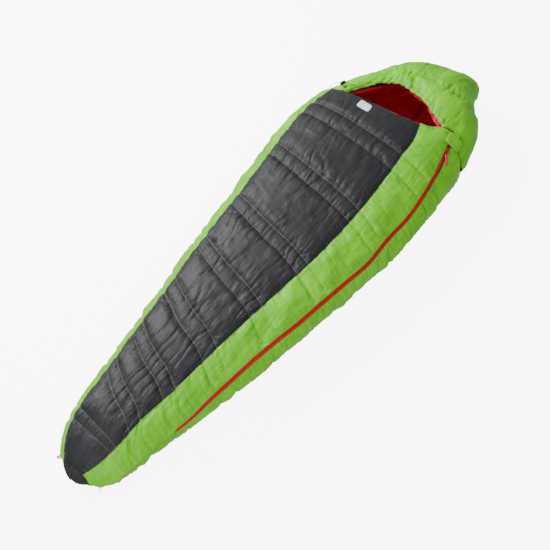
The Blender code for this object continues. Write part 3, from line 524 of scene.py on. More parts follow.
def wall_depth(S, PHI, seam_cols, zip_col=None):
    P = wall(S, PHI, 0.0)
    ds = seam_distance(P, SEAM_ROWS)
    D = BASE_D + (SEAM_D - BASE_D) * near(ds, 0, 0.012)
    for c in seam_cols:
        D = D + (LONG_D - BASE_D) * near(column_distance(P, c), 0, 0.010)
    if zip_col is not None:
        D = D + (zip_depth(S) - 0.0010 - D) * near(column_distance(P, zip_col), 0, 0.016)
    rows = np.arange(S.shape[0])[:, None] - (S.shape[0] - 1)
    turn = (PHI + 90) % 360 - 90
    loops = near(S, -0.60, 0.05) * (near(turn, -22.0, 9.0) + near(turn, 196.0, 9.0))     # the hanging loops are sewn here
    D = D + (0.0002 - D) * np.clip(loops * 1.3, 0, 1)
    return D + (0.0060 - D) * near(rows, 0, 4.0)


def held(sheet_shape, cols, ends=(1.0, 1.0)):
    """Sewn lines of a panel: the seams across it, the seams along it, the rolled edge and the foot seam."""
    pin = np.zeros(sheet_shape)
    for r in SEAM_ROWS:
        pin[r] = 0.85
    for c in cols:
        pin[:, c] = np.maximum(pin[:, c], 0.85)
    pin[:, 0] = pin[:, 0] if ends[0] is None else ends[0]
    pin[:, -1] = pin[:, -1] if ends[1] is None else ends[1]
    pin[0] = 1.0
    pin[-len(ROLL):] = 0.97
    return pin


def spare(S, v_of_row, seed, wide=0.024, strip=0.010):
    sh = np.full(S.shape, wide)
    for a, b in PAIRS:
        rows = (v_of_row > a + 1e-6) & (v_of_row < b - 1e-6)
        sh[rows] = strip
    sh += 0.010 * noise2(S * 9.0, np.arange(S.shape[1])[None] / 9.0, seed)
    return np.clip(sh, 0.0, 0.12)


def v_rows_of(n):
    v = np.full(n, 2.0)
    v[:len(V_ROWS)] = V_ROWS
    return v


tD = wall_depth(tS, tPHI, (N_ZG, N_ZG + N_DK), 0)
tS, tPHI, tD = rimmed(tS, tPHI, tD, -90.0, 131.0)
rD = wall_depth(rS, rPHI, (0,), rS.shape[1] - 1)
rS, rPHI, rD = rimmed(rS, rPHI, rD, 300.0, 301.0)
bD = np.clip(wall_depth(bS, bPHI, (0, bS.shape[1] - 1)) * 0.55, 0.003, 0.02)
bS, bPHI, bD = rimmed(bS, bPHI, bD, 300.0, 301.0)
bD[:, 0], bD[:, -1] = tD[:, -1], rD[:, 0]
for k_, f_ in ((1, 0.75), (2, 0.45), (3, 0.2)):
    bD[:, k_] = bD[:, k_] * (1 - f_) + bD[:, 0] * f_
    bD[:, -1 - k_] = bD[:, -1 - k_] * (1 - f_) + bD[:, -1] * f_

# hood: from its hem to the crown
H_COLS = np.concatenate([np.linspace(-90, 10, 27)[:-1], np.linspace(10, 136, 58)[:-1], np.linspace(136, 270, 38)[:-1]])
H_T = np.concatenate([np.linspace(0, 0.30, 26)[:-1], np.linspace(0.30, 0.96, 30)[:-1], np.array([0.96, 0.985, 0.998])])
hs0 = hem_s(H_COLS)
hS = hs0[None] + (2.0 - hs0)[None] * H_T[:, None]
hPHI = np.broadcast_to(H_COLS, hS.shape).copy()
hD = np.full(hS.shape, -0.0010)
rows_h = np.arange(hS.shape[0])[:, None]
hD = hD + (0.0065 - hD) * near(rows_h, 0, 4.0)
CROWN_T = 0.44
hD += 0.0018 * near(H_T[:, None] - CROWN_T, 0, 0.018) + 0.0018 * near(H_T[:, None] - 0.115, 0, 0.012)
hS, hPHI, hD = rimmed(hS, hPHI, hD, 10.0, 131.0, True)
CROWN_ROW = len(ROLL) - 1 + int(np.argmin(np.abs(H_T - CROWN_T)))
HEM_ROW = len(ROLL) - 1 + int(np.argmin(np.abs(H_T - 0.115)))

# foot end: a ring from the last seam to the end point
F_S = -1.0 + (1.0 - 0.704) * np.linspace(0.01, 1, 26)
F_COLS = np.linspace(-90, 270, 97)[:-1]
fS = np.broadcast_to(F_S[:, None], (len(F_S), len(F_COLS))).copy()
fPHI = np.broadcast_to(F_COLS, fS.shape).copy()
fD = 0.0065 + 0 * fS - 0.0035 * near(np.arange(len(F_S))[:, None], 13, 8.0)

top = Sheet("top", tS, tPHI, tD, held(tS.shape, (N_ZG, N_ZG + N_DK), (1.0, 0.95)), spare(tS, v_rows_of(len(tS)), 3))
rlow = Sheet("right_low", rS, rPHI, rD, held(rS.shape, (), (0.95, 1.0)), spare(rS, v_rows_of(len(rS)), 13, 0.03, 0.04))
bottom = Sheet("bottom", bS, bPHI, bD, np.ones(bS.shape), np.zeros(bS.shape))
pin_h = np.zeros(hS.shape)
pin_h[:len(ROLL)], pin_h[-1] = 0.97, 1.0
pin_h[CROWN_ROW], pin_h[HEM_ROW] = 0.25, 0.60
hood = Sheet("hood", hS, hPHI, hD, pin_h, np.clip(0.040 + 0.012 * noise2(hS * 14, hPHI / 9.0, 31), 0, 0.12), wrap=True)
pin_f = np.zeros(fS.shape)
pin_f[0], pin_f[-1] = 0.6, 1.0
foot = Sheet("foot", fS, fPHI, fD, pin_f, np.full(fS.shape, 0.02), wrap=True)


run_cloth([top, rlow, hood, foot])


def finer(A, wrap=False, rows=True):
    """Twice as many points each way, on smooth curves through the old ones."""
    def up(A):
        n = len(A)
        e = np.concatenate([2 * A[:1] - A[1:2], A, 2 * A[-1:] - A[-2:-1]], 0)
        mid = (-e[:-3] + 9 * e[1:-2] + 9 * e[2:-1] - e[3:]) / 16
        out = np.empty((2 * n - 1,) + A.shape[1:])
        out[::2], out[1::2] = A, mid
        return out
    if rows:
        A = up(A)
    if wrap:
        B = np.concatenate([A[:, -2:], A, A[:, :2]], 1)
        B = np.moveaxis(up(np.moveaxis(B, 1, 0)), 0, 1)
        return B[:, 4:4 + 2 * A.shape[1]]
    return np.moveaxis(up(np.moveaxis(A, 1, 0)), 0, 1)


def limit(sh, most=0.0045, least=-0.0185):
    """The cloth stays between the lining and a little outside the drawn wall, and above the floor."""
    face = wall(sh.S, sh.PHI, 0.0)
    e = np.sum((sh.P - face) * sh.out, -1)
    hi, lo = most, least
    e2 = np.where(e > hi - 0.003, hi - 0.003 + 0.003 * np.tanh((e - hi + 0.003) / 0.006), e)
    e2 = np.where(e2 < lo, lo, e2)
    sh.P = sh.P + sh.out * (e2 - e)[..., None]
    sh.P[..., 2] = np.maximum(sh.P[..., 2], 0.0006)


class Fine:
    """A panel's final surface with its distances to the sewn lines."""

    def __init__(self, sh, rows, cols, seed, wrap=False, most=0.0050):
        limit(sh, most)
        self.P = finer(sh.P, wrap)
        self.out = finer(sh.out, wrap)
        self.out /= np.maximum(np.linalg.norm(self.out, axis=-1, keepdims=True), 1e-9)
        self.S = finer(sh.S, wrap)
        self.rows, self.cols = [2 * r for r in rows], [2 * c for c in cols]
        base = finer(sh.base, wrap)
        self.u, self.v = metre_uv(base, wrap)
        self.ds = seam_distance(base, self.rows)
        self.dl = np.full(self.u.shape, 1.0)
        for c in self.cols:
            self.dl = np.minimum(self.dl, column_distance(base, c))
        self.wrap, self.seed = wrap, seed
        self.strip = np.zeros(self.u.shape)

    def ruffle(self, fine=0.0011, broad=0.0018, side=0.0010, wave=0.0125, strip=0.0008, soft=0.0012, reach=0.020,
               groove=0.0, groove_side=0.0, pitch=0.030, still=1.0):
        """Gathers at the sewn lines: folds across the seam, dense at the thread and fewer further out."""
        n = normals_of(self.P, self.wrap)
        flip = np.sign(np.sum(n * self.out, -1, keepdims=True))
        n = n * np.where(flip == 0, 1, flip)
        u, v, ds, dl = self.u, self.v, self.ds, self.dl
        h = fine * np.exp(-ds / reach) * fold_noise(u / wave, v / 0.060, self.seed)
        h += broad * np.exp(-ds / (reach * 3)) * fold_noise(u / (wave * 2.7), v / 0.15, self.seed + 20)
        h += side * np.exp(-dl / 0.022) * fold_noise(v / (wave * 0.95), u / 0.050, self.seed + 40)
        h += side * np.exp(-dl / 0.050) * fold_noise(v / (wave * 2.4), u / 0.110, self.seed + 50)
        h += soft * noise2(u / 0.055, v / 0.075, self.seed + 60) * np.clip(ds / 0.03, 0, 1)
        h += soft * 0.6 * fold_noise(u / 0.060 + v / 0.11, v / 0.045 - u / 0.2, self.seed + 65) * np.clip(ds / 0.02, 0, 1)
        h += 0.0005 * noise2(u / 0.016, v / 0.035, self.seed + 70)
        bend_ = 0.5 * noise2(u / 0.09, v / 0.07, self.seed + 95)
        cut = np.exp(-(noise2(u / pitch + bend_, v / 0.14, self.seed + 90) / 0.20)**2)
        cut2 = np.exp(-(noise2(v / pitch + bend_, u / 0.12, self.seed + 91) / 0.22)**2)
        h = np.where(self.strip > 0, h * 0.5 + strip * fold_noise(u / (wave * 0.95), v / 0.090, self.seed + 80), h)
        h = h - groove * np.exp(-ds / (reach * 2.4)) * cut - groove_side * np.exp(-dl / 0.055) * cut2
        calm = 0.55 + 0.45 * np.clip(np.minimum(ds, dl) / 0.003, 0, 1)
        self.P = self.P + n * (h * calm * still)[..., None]
        self.P[..., 2] = np.maximum(self.P[..., 2], 0.0004)
        return self

    def piece(self, name, mat, c0=None, c1=None):
        P, u, v = self.P, self.u, self.v
        ds, dl, st = self.ds, self.dl, self.strip
        if c0 is not None:
            P, u, v, ds, dl, st = (A[:, c0:c1 + 1] for A in (P, u, v, ds, dl, st))
        me = grid_mesh(name, P, self.wrap)
        add_uv(me, u, v)
        add_attr(me, "seam", ds)
        add_attr(me, "side", dl)
        add_attr(me, "strip", st)
        ob = put(name, me)
        me.materials.append(mat)
        return ob


# --------------------------------------------------------------- materials
class Graph:
    def __init__(self, name):
        self.mat = bpy.data.materials.new(name)
        self.mat.use_nodes = True
        self.t = self.mat.node_tree
        self.t.nodes.clear()
        self.out = self.add("ShaderNodeOutputMaterial")
        self.bsdf = self.add("ShaderNodeBsdfPrincipled")
        self.link(self.bsdf.outputs[0], self.out.inputs[0])

    def add(self, kind, **props):
        n = self.t.nodes.new(kind)
        for k, v in props.items():
            setattr(n, k, v)
        return n

    def link(self, a, b):
        self.t.links.new(a, b)

    def value(self, node, **sockets):
        for k, v in sockets.items():
            node.inputs[k.replace("_", " ")].default_value = v
        return node

    def uv(self, su, sv, rot=0.0):
        src = self.add("ShaderNodeUVMap", uv_map="cloth")
        m = self.add("ShaderNodeMapping")
        m.inputs["Scale"].default_value = (su, sv, 1)
        m.inputs["Rotation"].default_value = (0, 0, rot)
        self.link(src.outputs[0], m.inputs[0])
        return m.outputs[0]

    def noise(self, vec, detail=3.0, rough=0.55, distortion=0.0, kind="FBM"):
        n = self.add("ShaderNodeTexNoise", noise_dimensions="2D")
        n.inputs["Scale"].default_value = 1.0
        n.inputs["Detail"].default_value = detail
        n.inputs["Roughness"].default_value = rough
        n.inputs["Distortion"].default_value = distortion
        self.link(vec, n.inputs["Vector"])
        return n.outputs[0]

    def math(self, op, a, b=None, c=None, clamp=False):
        n = self.add("ShaderNodeMath", operation=op, use_clamp=clamp)
        for i, x in enumerate((a, b, c)):
            if x is None:
                continue
            if isinstance(x, (int, float)):
                n.inputs[i].default_value = x
            else:
                self.link(x, n.inputs[i])
        return n.outputs[0]

    def ramp(self, fac, stops):
        n = self.add("ShaderNodeValToRGB")
        els = n.color_ramp.elements
        while len(els) < len(stops):
            els.new(0.5)
        for e, (p, col) in zip(els, stops):
            e.position, e.color = p, (*col, 1)
        self.link(fac, n.inputs[0])
        return n.outputs[0]

    def attr(self, name):
        return self.add("ShaderNodeAttribute", attribute_name=name, attribute_type="GEOMETRY").outputs["Fac"]

    def bump(self, height, dist, strength=1.0, normal=None):
        b = self.add("ShaderNodeBump")
        b.inputs["Distance"].default_value = dist
        b.inputs["Strength"].default_value = strength
        self.link(height, b.inputs["Height"])
        if normal is not None:
            self.link(normal, b.inputs["Normal"])
        return b.outputs[0]


def nylon(name, dark, mid, light, rough=0.42, sheen=0.25, wrinkle=1.0, sheen_tint=(1, 1, 1, 1)):
    """Down-proof nylon: fine weave, crease network and a soft sheen."""
    g = Graph(name)
    crease = g.noise(g.uv(85, 16), 4.0, 0.62, 0.35)
    cross = g.noise(g.uv(24, 95), 3.0, 0.6, 0.3)
    seam, side = g.attr("seam"), g.attr("side")
    k1 = g.math("POWER", 2.718, g.math("MULTIPLY", seam, -28.0))
    k2 = g.math("POWER", 2.718, g.math("MULTIPLY", side, -35.0))
    h = g.math("ADD", g.math("MULTIPLY", crease, g.math("MULTIPLY_ADD", k1, 0.9, 0.35)),
               g.math("MULTIPLY", cross, g.math("MULTIPLY_ADD", k2, 0.8, 0.12)))
    n1 = g.bump(h, 0.0042 * wrinkle, 0.9)
    weave = g.add("ShaderNodeTexBrick")
    weave.offset = 0.0
    weave.inputs["Scale"].default_value = 1.0
    weave.inputs["Mortar Size"].default_value = 0.06
    weave.inputs["Mortar Smooth"].default_value = 0.6
    weave.inputs["Brick Width"].default_value = 1.0
    weave.inputs["Row Height"].default_value = 1.0
    g.link(g.uv(190, 190), weave.inputs["Vector"])
    n2 = g.bump(weave.outputs["Fac"], 0.00012, 0.6, n1)
    grain = g.noise(g.uv(900, 900), 2.0, 0.6)
    n3 = g.bump(grain, 0.00008, 0.6, n2)
    g.link(n3, g.bsdf.inputs["Normal"])
    tone = g.noise(g.uv(7, 5), 3.0, 0.6, 0.2)
    # base colour: random tone plus painted shade, darker where the crease noise sinks the bump into crease valleys
    col = g.ramp(g.math("MULTIPLY_ADD", crease, 0.35, g.math("MULTIPLY", tone, 0.65)), ((0.30, dark), (0.50, mid), (0.72, light)))
    g.link(col, g.bsdf.inputs["Base Color"])
    rr = g.math("MULTIPLY_ADD", tone, 0.16, rough - 0.08)
    g.link(rr, g.bsdf.inputs["Roughness"])
    g.bsdf.inputs["Sheen Weight"].default_value = sheen
    g.bsdf.inputs["Sheen Roughness"].default_value = 0.4
    g.bsdf.inputs["Sheen Tint"].default_value = sheen_tint
    g.bsdf.inputs["Specular IOR Level"].default_value = 0.30
    return g.mat


def plain(name, col, rough=0.6, metal=0.0, grain=(900, 900, 0.0001), sheen=0.0, spread=0.12):
    g = Graph(name)
    tone = g.add("ShaderNodeTexNoise")
    co = g.add("ShaderNodeTexCoord")
    g.link(co.outputs["Object"], tone.inputs["Vector"])
    tone.inputs["Scale"].default_value = 60.0
    tone.inputs["Detail"].default_value = 4.0
    lo, hi = tuple(c * (1 - spread) for c in col), tuple(min(1, c * (1 + spread)) for c in col)
    g.link(g.ramp(tone.outputs[0], ((0.3, lo), (0.7, hi))), g.bsdf.inputs["Base Color"])
    fine = g.add("ShaderNodeTexNoise")
    g.link(co.outputs["Object"], fine.inputs["Vector"])
    fine.inputs["Scale"].default_value = grain[0]
    g.link(g.bump(fine.outputs[0], grain[2], 0.7), g.bsdf.inputs["Normal"])
    g.link(g.math("MULTIPLY_ADD", tone.outputs[0], 0.2, rough - 0.1), g.bsdf.inputs["Roughness"])
    g.bsdf.inputs["Metallic"].default_value = metal
    g.bsdf.inputs["Sheen Weight"].default_value = sheen
    return g.mat


M_DARK = nylon("charcoal_nylon", (0.0075, 0.0082, 0.0100), (0.0115, 0.0124, 0.0148), (0.019, 0.0205, 0.024), 0.52, 0.05)
M_LIME = nylon("lime_nylon", (0.094, 0.415, 0.0016), (0.142, 0.545, 0.0028), (0.225, 0.680, 0.008), 0.50, 0.03)
M_RED = nylon("red_lining", (0.680, 0.006, 0.045), (0.820, 0.010, 0.060), (0.920, 0.022, 0.085), 0.44, 0.10, 2.2)
M_TAPE = plain("zip_tape_red", (0.620, 0.018, 0.014), 0.75, grain=(1400, 0, 0.0002), sheen=0.2)
M_COIL = plain("zip_coil_red", (0.560, 0.018, 0.014), 0.45)
M_STITCH_L = plain("thread_light", (0.150, 0.148, 0.145), 0.8)
M_STITCH_G = plain("thread_green", (0.180, 0.350, 0.060), 0.8)
M_EDGE_G = plain("edge_yellow_green", (0.450, 0.620, 0.150), 0.6)
M_EDGE_P = plain("edge_pinkish", (0.300, 0.120, 0.120), 0.6)
M_WHITE = plain("label_white", (0.74, 0.74, 0.72), 0.8, grain=(1500, 0, 0.0002))
M_BLACK = plain("hook_black", (0.014, 0.014, 0.016), 0.95, grain=(1100, 0, 0.0008))
M_CORD = plain("cord_black", (0.018, 0.018, 0.020), 0.8, grain=(1500, 0, 0.0004))
M_PLASTIC = plain("lock_black", (0.016, 0.016, 0.018), 0.38)
M_METAL = plain("slider_metal", (0.340, 0.016, 0.018), 0.34, 0.35)
M_STEEL = plain("spring_steel", (0.550, 0.550, 0.560), 0.28, 1.0)
M_PULL = plain("pull_red", (0.560, 0.060, 0.060), 0.5)
M_WEB = plain("webbing_white", (0.700, 0.700, 0.680), 0.85, grain=(1200, 0, 0.0003))

# --------------------------------------------------------------- quilted walls
top_f = Fine(top, SEAM_ROWS, (N_ZG, N_ZG + N_DK), 101)
vv = v_rows_of(len(tS))


def mark_strips(f, n):
    v = np.interp(np.arange(f.P.shape[0]) / 2.0, np.arange(n), v_rows_of(n))
    for a, b in PAIRS:
        f.strip[(v > a - 1e-6) & (v < b + 1e-6)] = 1.0


mark_strips(top_f, len(tS))
on_lime = np.ones(top_f.u.shape)
on_lime[:, 2 * N_ZG + 1:2 * (N_ZG + N_DK)] = 0.0
z_near = column_distance(finer(top.base), 0)
top_f.dl[:, :2 * N_ZG] = np.minimum(top_f.dl[:, :2 * N_ZG], z_near[:, :2 * N_ZG] + 0.004)
top_f.ruffle(fine=0.0012 - 0.0004 * on_lime, broad=0.0018, side=0.0009 + 0.0024 * on_lime, soft=0.0014 + 0.0020 * on_lime,
             groove=0.0044 - 0.0036 * on_lime, groove_side=0.0008 + 0.0034 * on_lime,
             still=np.clip(z_near / 0.016, 0.10, 1.0))
rl_f = Fine(rlow, SEAM_ROWS, (0, rS.shape[1] - 1), 205)
rl_f.ruffle(0.0009, 0.0022, 0.0030, 0.0125, soft=0.0030, groove=0.0008, groove_side=0.0038,
            still=np.clip(column_distance(finer(rlow.base), rl_f.u.shape[1] - 1) / 0.016, 0.10, 1.0))
# the two panels share the seam; keep the lower edge with the bottom panel
bottom.P[:, 0], bottom.P[:, -1] = top.P[:, -1], rlow.P[:, 0]
bot_f = Fine(bottom, SEAM_ROWS, (0, bS.shape[1] - 1), 305)
bot_f.ruffle(0.0008, 0.0010, 0.0008, 0.0140, 0.0010)
bot_f.P[:, 0], bot_f.P[:, -1] = top_f.P[:, -1], rl_f.P[:, 0]
hood_f = Fine(hood, (len(ROLL) - 1, HEM_ROW, CROWN_ROW), (), 405, True, 0.0085)
hood_f.ruffle(0.0026, 0.0042, 0.0, 0.0190, soft=0.0030, reach=0.020, groove=0.0065, pitch=0.036)
foot_f = Fine(foot, (0, len(F_S) - 1), (), 505, True)
foot_f.ruffle(0.0008, 0.0014, 0.0, 0.0160)

shut = (top_f.S[:, 0] < 0.033) | (top_f.S[:, 0] > 0.907)
n_ = min(len(shut), rl_f.P.shape[0])
for k_ in np.nonzero(shut[:n_ - 2 * len(ROLL)])[0]:
    j_ = int(np.argmin(np.linalg.norm(rl_f.P[:, -1] - top_f.P[k_, 0], axis=1)))
    j_ = k_ if abs(j_ - k_) > 6 else j_
    mid_ = (rl_f.P[k_, -1] + top_f.P[k_, 0]) / 2
    top_f.P[k_, 0] = mid_
    rl_f.P[k_, -1] = mid_

FN = np.array([0.902, 0.431, 0.0])
FN /= np.linalg.norm(FN)


def bend(ob, lo=-0.045, hi=0.065):
    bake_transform(ob)


c1, c2 = 2 * N_ZG, 2 * (N_ZG + N_DK)
side_up = top_f.piece("right_side_upper_quilt", M_LIME, 0, c1)
dark_top = top_f.piece("top_quilt", M_DARK, c1, c2)
left_q = top_f.piece("left_side_quilt", M_LIME, c2, top_f.P.shape[1] - 1)
right_q = rl_f.piece("right_side_lower_quilt", M_LIME)
bottom_q = bot_f.piece("bottom_quilt", M_DARK)
hood_q = hood_f.piece("hood_quilt", M_LIME)
foot_q = foot_f.piece("foot_end_quilt", M_DARK)
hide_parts("right_upper_shell", "corner_side_shell", "right_foot_fill", "right_upper_fill", "corner_side_fill")
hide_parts("top_shell", "corner_top_shell", "top_foot_fill", "top_leg_fill", "top_chest_fill", "corner_top_fill")
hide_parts("left_side_shell", "left_side_fill")
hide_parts("right_lower_shell", "right_lower_fill")
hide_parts("bottom_shell", "bottom_foot_fill", "bottom_leg_fill", "bottom_chest_fill")
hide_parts("hood_shell", "hood_top_fill", "hood_back_fill", "hood_hem")
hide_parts("foot_shell", "foot_fill")
bend(side_up)
bend(dark_top)
for ob in (left_q, right_q, bottom_q, hood_q, foot_q):
    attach(ob, "bag")


# --------------------------------------------------------------- red lining
def lining(name, S, PHI, seed, wrap=False, depth=0.0238, puff=0.009, turn=None, wave=0.055):
    """Loose lining; turn is the side, 0 or -1, on which it turns up to meet the zip."""
    if turn is not None:
        k = 0.00002 * np.arange(len(S))[:, None]
        S = np.maximum.accumulate(S - k, axis=0) + k
    D = np.full(S.shape, depth)
    if turn is not None:
        up = np.array([0.0050, 0.0095, 0.0150, 0.0200, 0.0228])[:, None]
        col = S[:, :1] if turn == 0 else S[:, -1:]
        ph = PHI[:, :1] if turn == 0 else PHI[:, -1:]
        cs, cp = np.repeat(col, 5, 1), np.repeat(ph, 5, 1)
        cd = np.repeat(up.T, len(S), 0)
        if turn == 0:
            S, PHI, D = np.concatenate([cs, S], 1), np.concatenate([cp, PHI], 1), np.concatenate([cd, D], 1)
        else:
            S, PHI, D = np.concatenate([S, cs], 1), np.concatenate([PHI, cp], 1), np.concatenate([D, cd[:, ::-1]], 1)
    P0 = wall(S, PHI, D)
    inn = wall(S, PHI, D + 0.01) - P0
    inn /= np.maximum(np.linalg.norm(inn, axis=-1, keepdims=True), 1e-9)
    if turn == -1:
        flat = sstep((-np.sin(np.radians(PHI)) - 0.25) / 0.5)[..., None]
        inn = inn * (1 - flat) + np.array([0.0, 0.0, 1.0]) * flat
        inn /= np.maximum(np.linalg.norm(inn, axis=-1, keepdims=True), 1e-9)
    u, v = metre_uv(P0, wrap)
    h = puff * (0.5 + 0.5 * noise2(u / wave, v / wave * 1.2, seed)) + 0.45 * puff * fold_noise(u / 0.045, v / 0.13, seed + 1)
    h += 0.0012 * fold_noise(u / 0.020, v / 0.08, seed + 2)
    h = h * np.clip((D - 0.0200) / 0.0038, 0, 1)
    if turn is not None:
        sewn = u[:, -1:] if turn == 0 else u[:, :1]
        h = h * sstep(np.abs(u - sewn) / 0.045)
    under = sstep((0.1 - np.sin(np.radians(PHI))) / 0.3)
    if turn == -1:
        h = h * (1 - under * (1 - sstep((v[-1:] - v) / 0.050)))
    if name == "hood_lining_cloth":
        h = h * (1 - under * (1 - sstep(v / 0.050)))
    P = P0 + inn * np.maximum(h, 0)[..., None]
    P[..., 2] = np.maximum(P[..., 2], 0.0180)
    me = grid_mesh(name, P[:, ::-1], wrap)
    add_uv(me, u[:, ::-1], v[:, ::-1])
    add_attr(me, "seam", 0.05 + 0 * u)
    add_attr(me, "side", 0.05 + 0 * u)
    ob = put(name, me)
    me.materials.append(M_RED)
    return ob


lin_rows = np.concatenate([V_ROWS[::2], [0.86]])
lS, lP, _ = lane_grid((upper_edge, seam_left), (54,), lin_rows, NECK[1::2], lambda p: neck_s(p) + 0.0)
lS[-1] -= 0.0030
top_lin = lining("top_lining_cloth", lS, lP, 61, turn=0)
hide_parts("top_lining", "corner_lining")
bend(top_lin)
lS, lP, _ = lane_grid((seam_left, lambda s: 360.0 + lower_edge(s)), (90,), lin_rows, NECK[1::2], neck_s)
base_lin = lining("base_lining_cloth", lS, lP, 62, turn=-1)
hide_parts("base_lining")
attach(base_lin, "bag")
t_ = np.concatenate([np.linspace(-0.004, 0.96, 40), [0.985, 0.998]])
cols_ = np.linspace(-90, 270, 121)[:-1]
lS = hem_s(cols_)[None] + (2.0 - hem_s(cols_))[None] * np.maximum(t_, 0.0)[:, None] + 0.0018
lS[0] = np.where(np.sin(np.radians(cols_)) < 0.05, neck_s(cols_) - 0.0045, lS[0])
hood_lin = lining("hood_lining_cloth", lS, np.broadcast_to(cols_, lS.shape), 63, True, puff=0.020)
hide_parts("hood_lining")
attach(hood_lin, "bag")
lS = np.broadcast_to(np.linspace(-0.97, -0.704, 14)[:, None], (14, 96)).copy()
foot_lin = lining("foot_lining_cloth", lS, np.broadcast_to(F_COLS, lS.shape), 64, True)
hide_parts("foot_lining")
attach(foot_lin, "bag")


# --------------------------------------------------------------- small soft parts
def ribbon_mesh(name, C, W, N, half, thick, mat, uvs=True):
    """A flat band with rounded edges along centre points C, width direction W and normal N."""
    prof = [(-1, -0.5), (-0.97, 0.0), (-1, 0.5), (0, 0.62), (1, 0.5), (0.97, 0.0), (1, -0.5), (0, -0.62)]
    prof = [(-1.0, 0.0), (-0.96, 0.5), (-0.5, 0.55), (0.5, 0.55), (0.96, 0.5), (1.0, 0.0), (0.96, -0.5), (-0.96, -0.5)]
    h = np.asarray(half, float)
    h = h if h.ndim else np.full(len(C), float(h))
    rings = np.stack([C + W * (h * a)[:, None] + N * (thick * b) for a, b in prof], 1)
    me = grid_mesh(name, rings[:, ::-1], True)
    bm = bmesh.new()
    bm.from_mesh(me)
    bmesh.ops.holes_fill(bm, edges=bm.edges)
    bmesh.ops.recalc_face_normals(bm, faces=bm.faces)
    bm.to_mesh(me)
    bm.free()
    ob = put(name, me)
    me.materials.append(mat)
    return ob


def tube_mesh(name, C, r, mat, sides=10, flat=1.0, up=None):
    """A round tube through the points C, closed at both ends."""
    C = np.asarray(C, float)
    T = np.gradient(C, axis=0)
    T /= np.linalg.norm(T, axis=1, keepdims=True)
    N = np.array(up if up is not None else (0.0, 0.0, 1.0)) * np.ones_like(C)
    N = N - T * np.sum(N * T, 1, keepdims=True)
    N /= np.linalg.norm(N, axis=1, keepdims=True)
    B = np.cross(T, N)
    a = np.linspace(0, 2 * np.pi, sides, endpoint=False)
    r = np.asarray(r, float) * np.ones(len(C))
    rings = C[:, None] + r[:, None, None] * (B[:, None] * np.cos(a)[None, :, None] + N[:, None] * (flat * np.sin(a))[None, :, None])
    me = grid_mesh(name, rings, True)
    bm = bmesh.new()
    bm.from_mesh(me)
    bmesh.ops.holes_fill(bm, edges=bm.edges)
    bmesh.ops.recalc_face_normals(bm, faces=bm.faces)
    bm.to_mesh(me)
    bm.free()
    ob = put(name, me)
    me.materials.append(mat)
    return ob


def boxes_mesh(name, C, A, B, N, size, mat):
    """Many little blocks: centres C, long axis A, side B, up N, half sizes."""
    a, b, c = size
    corners = np.array([(-1, -1, -1), (1, -1, -1), (1, 1, -1), (-1, 1, -1), (-.8, -.6, 1), (.8, -.6, 1), (.8, .6, 1), (-.8, .6, 1)], float)
    P = (C[:, None] + corners[None, :, 0, None] * a * A[:, None] + corners[None, :, 1, None] * b * B[:, None]
         + corners[None, :, 2, None] * c * N[:, None])
    quads = np.array([(0, 3, 2, 1), (4, 5, 6, 7), (0, 1, 5, 4), (1, 2, 6, 5), (2, 3, 7, 6), (3, 0, 4, 7)])
    n = len(C)
    F = (quads[None] + 8 * np.arange(n)[:, None, None]).reshape(-1, 4)
    me = bpy.data.meshes.new(name)
    me.vertices.add(n * 8)
    me.vertices.foreach_set("co", P.reshape(-1).astype(np.float32))
    me.loops.add(len(F) * 4)
    me.loops.foreach_set("vertex_index", F.reshape(-1).astype(np.int32))
    me.polygons.add(len(F))
    me.polygons.foreach_set("loop_start", (np.arange(len(F)) * 4).astype(np.int32))
    me.update(calc_edges=True)
    bm = bmesh.new()
    bm.from_mesh(me)
    bmesh.ops.recalc_face_normals(bm, faces=bm.faces)
    bm.to_mesh(me)
    bm.free()
    ob = put(name, me)
    me.polygons.foreach_set("use_smooth", np.zeros(len(me.polygons), bool))
    me.materials.append(mat)
    return ob


def sample_path(P, pitch, offset=0.0):
    """Even points along a polyline with tangents and fractional indices."""
    d = np.concatenate([[0], np.cumsum(np.linalg.norm(np.diff(P, axis=0), axis=1))])
    t = np.arange(pitch * 0.5 + offset, d[-1], pitch)
    i = np.interp(t, d, np.arange(len(P)))
    C = np.stack([np.interp(i, np.arange(len(P)), P[:, k]) for k in range(3)], 1)
    T = np.stack([np.interp(i, np.arange(len(P)), np.gradient(P, axis=0)[:, k]) for k in range(3)], 1)
    return C, T / np.maximum(np.linalg.norm(T, axis=1, keepdims=True), 1e-9), i


def stitches(name, f, lines, mat, c0=0, c1=None, pitch=0.0062, half=(0.0022, 0.00075, 0.00045)):
    """Thread along rows of a panel, as separate stitches lying on the cloth."""
    n = normals_of(f.P, f.wrap)
    n = n * np.sign(np.sum(n * f.out, -1, keepdims=True) + 1e-9)
    Cs, As, Ns = [], [], []
    for kind, k in lines:
        P = f.P[k, c0:c1] if kind == "row" else f.P[c0:c1, k]
        M = n[k, c0:c1] if kind == "row" else n[c0:c1, k]
        C, T, i = sample_path(P, pitch)
        N = np.stack([np.interp(i, np.arange(len(P)), M[:, q]) for q in range(3)], 1)
        N -= T * np.sum(N * T, 1, keepdims=True)
        N /= np.maximum(np.linalg.norm(N, axis=1, keepdims=True), 1e-9)
        Cs.append(C + N * 0.0004)
        As.append(T)
        Ns.append(N)
    C, A, N = (np.concatenate(x) for x in (Cs, As, Ns))
    return boxes_mesh(name, C, A, np.cross(N, A), N, half, mat)


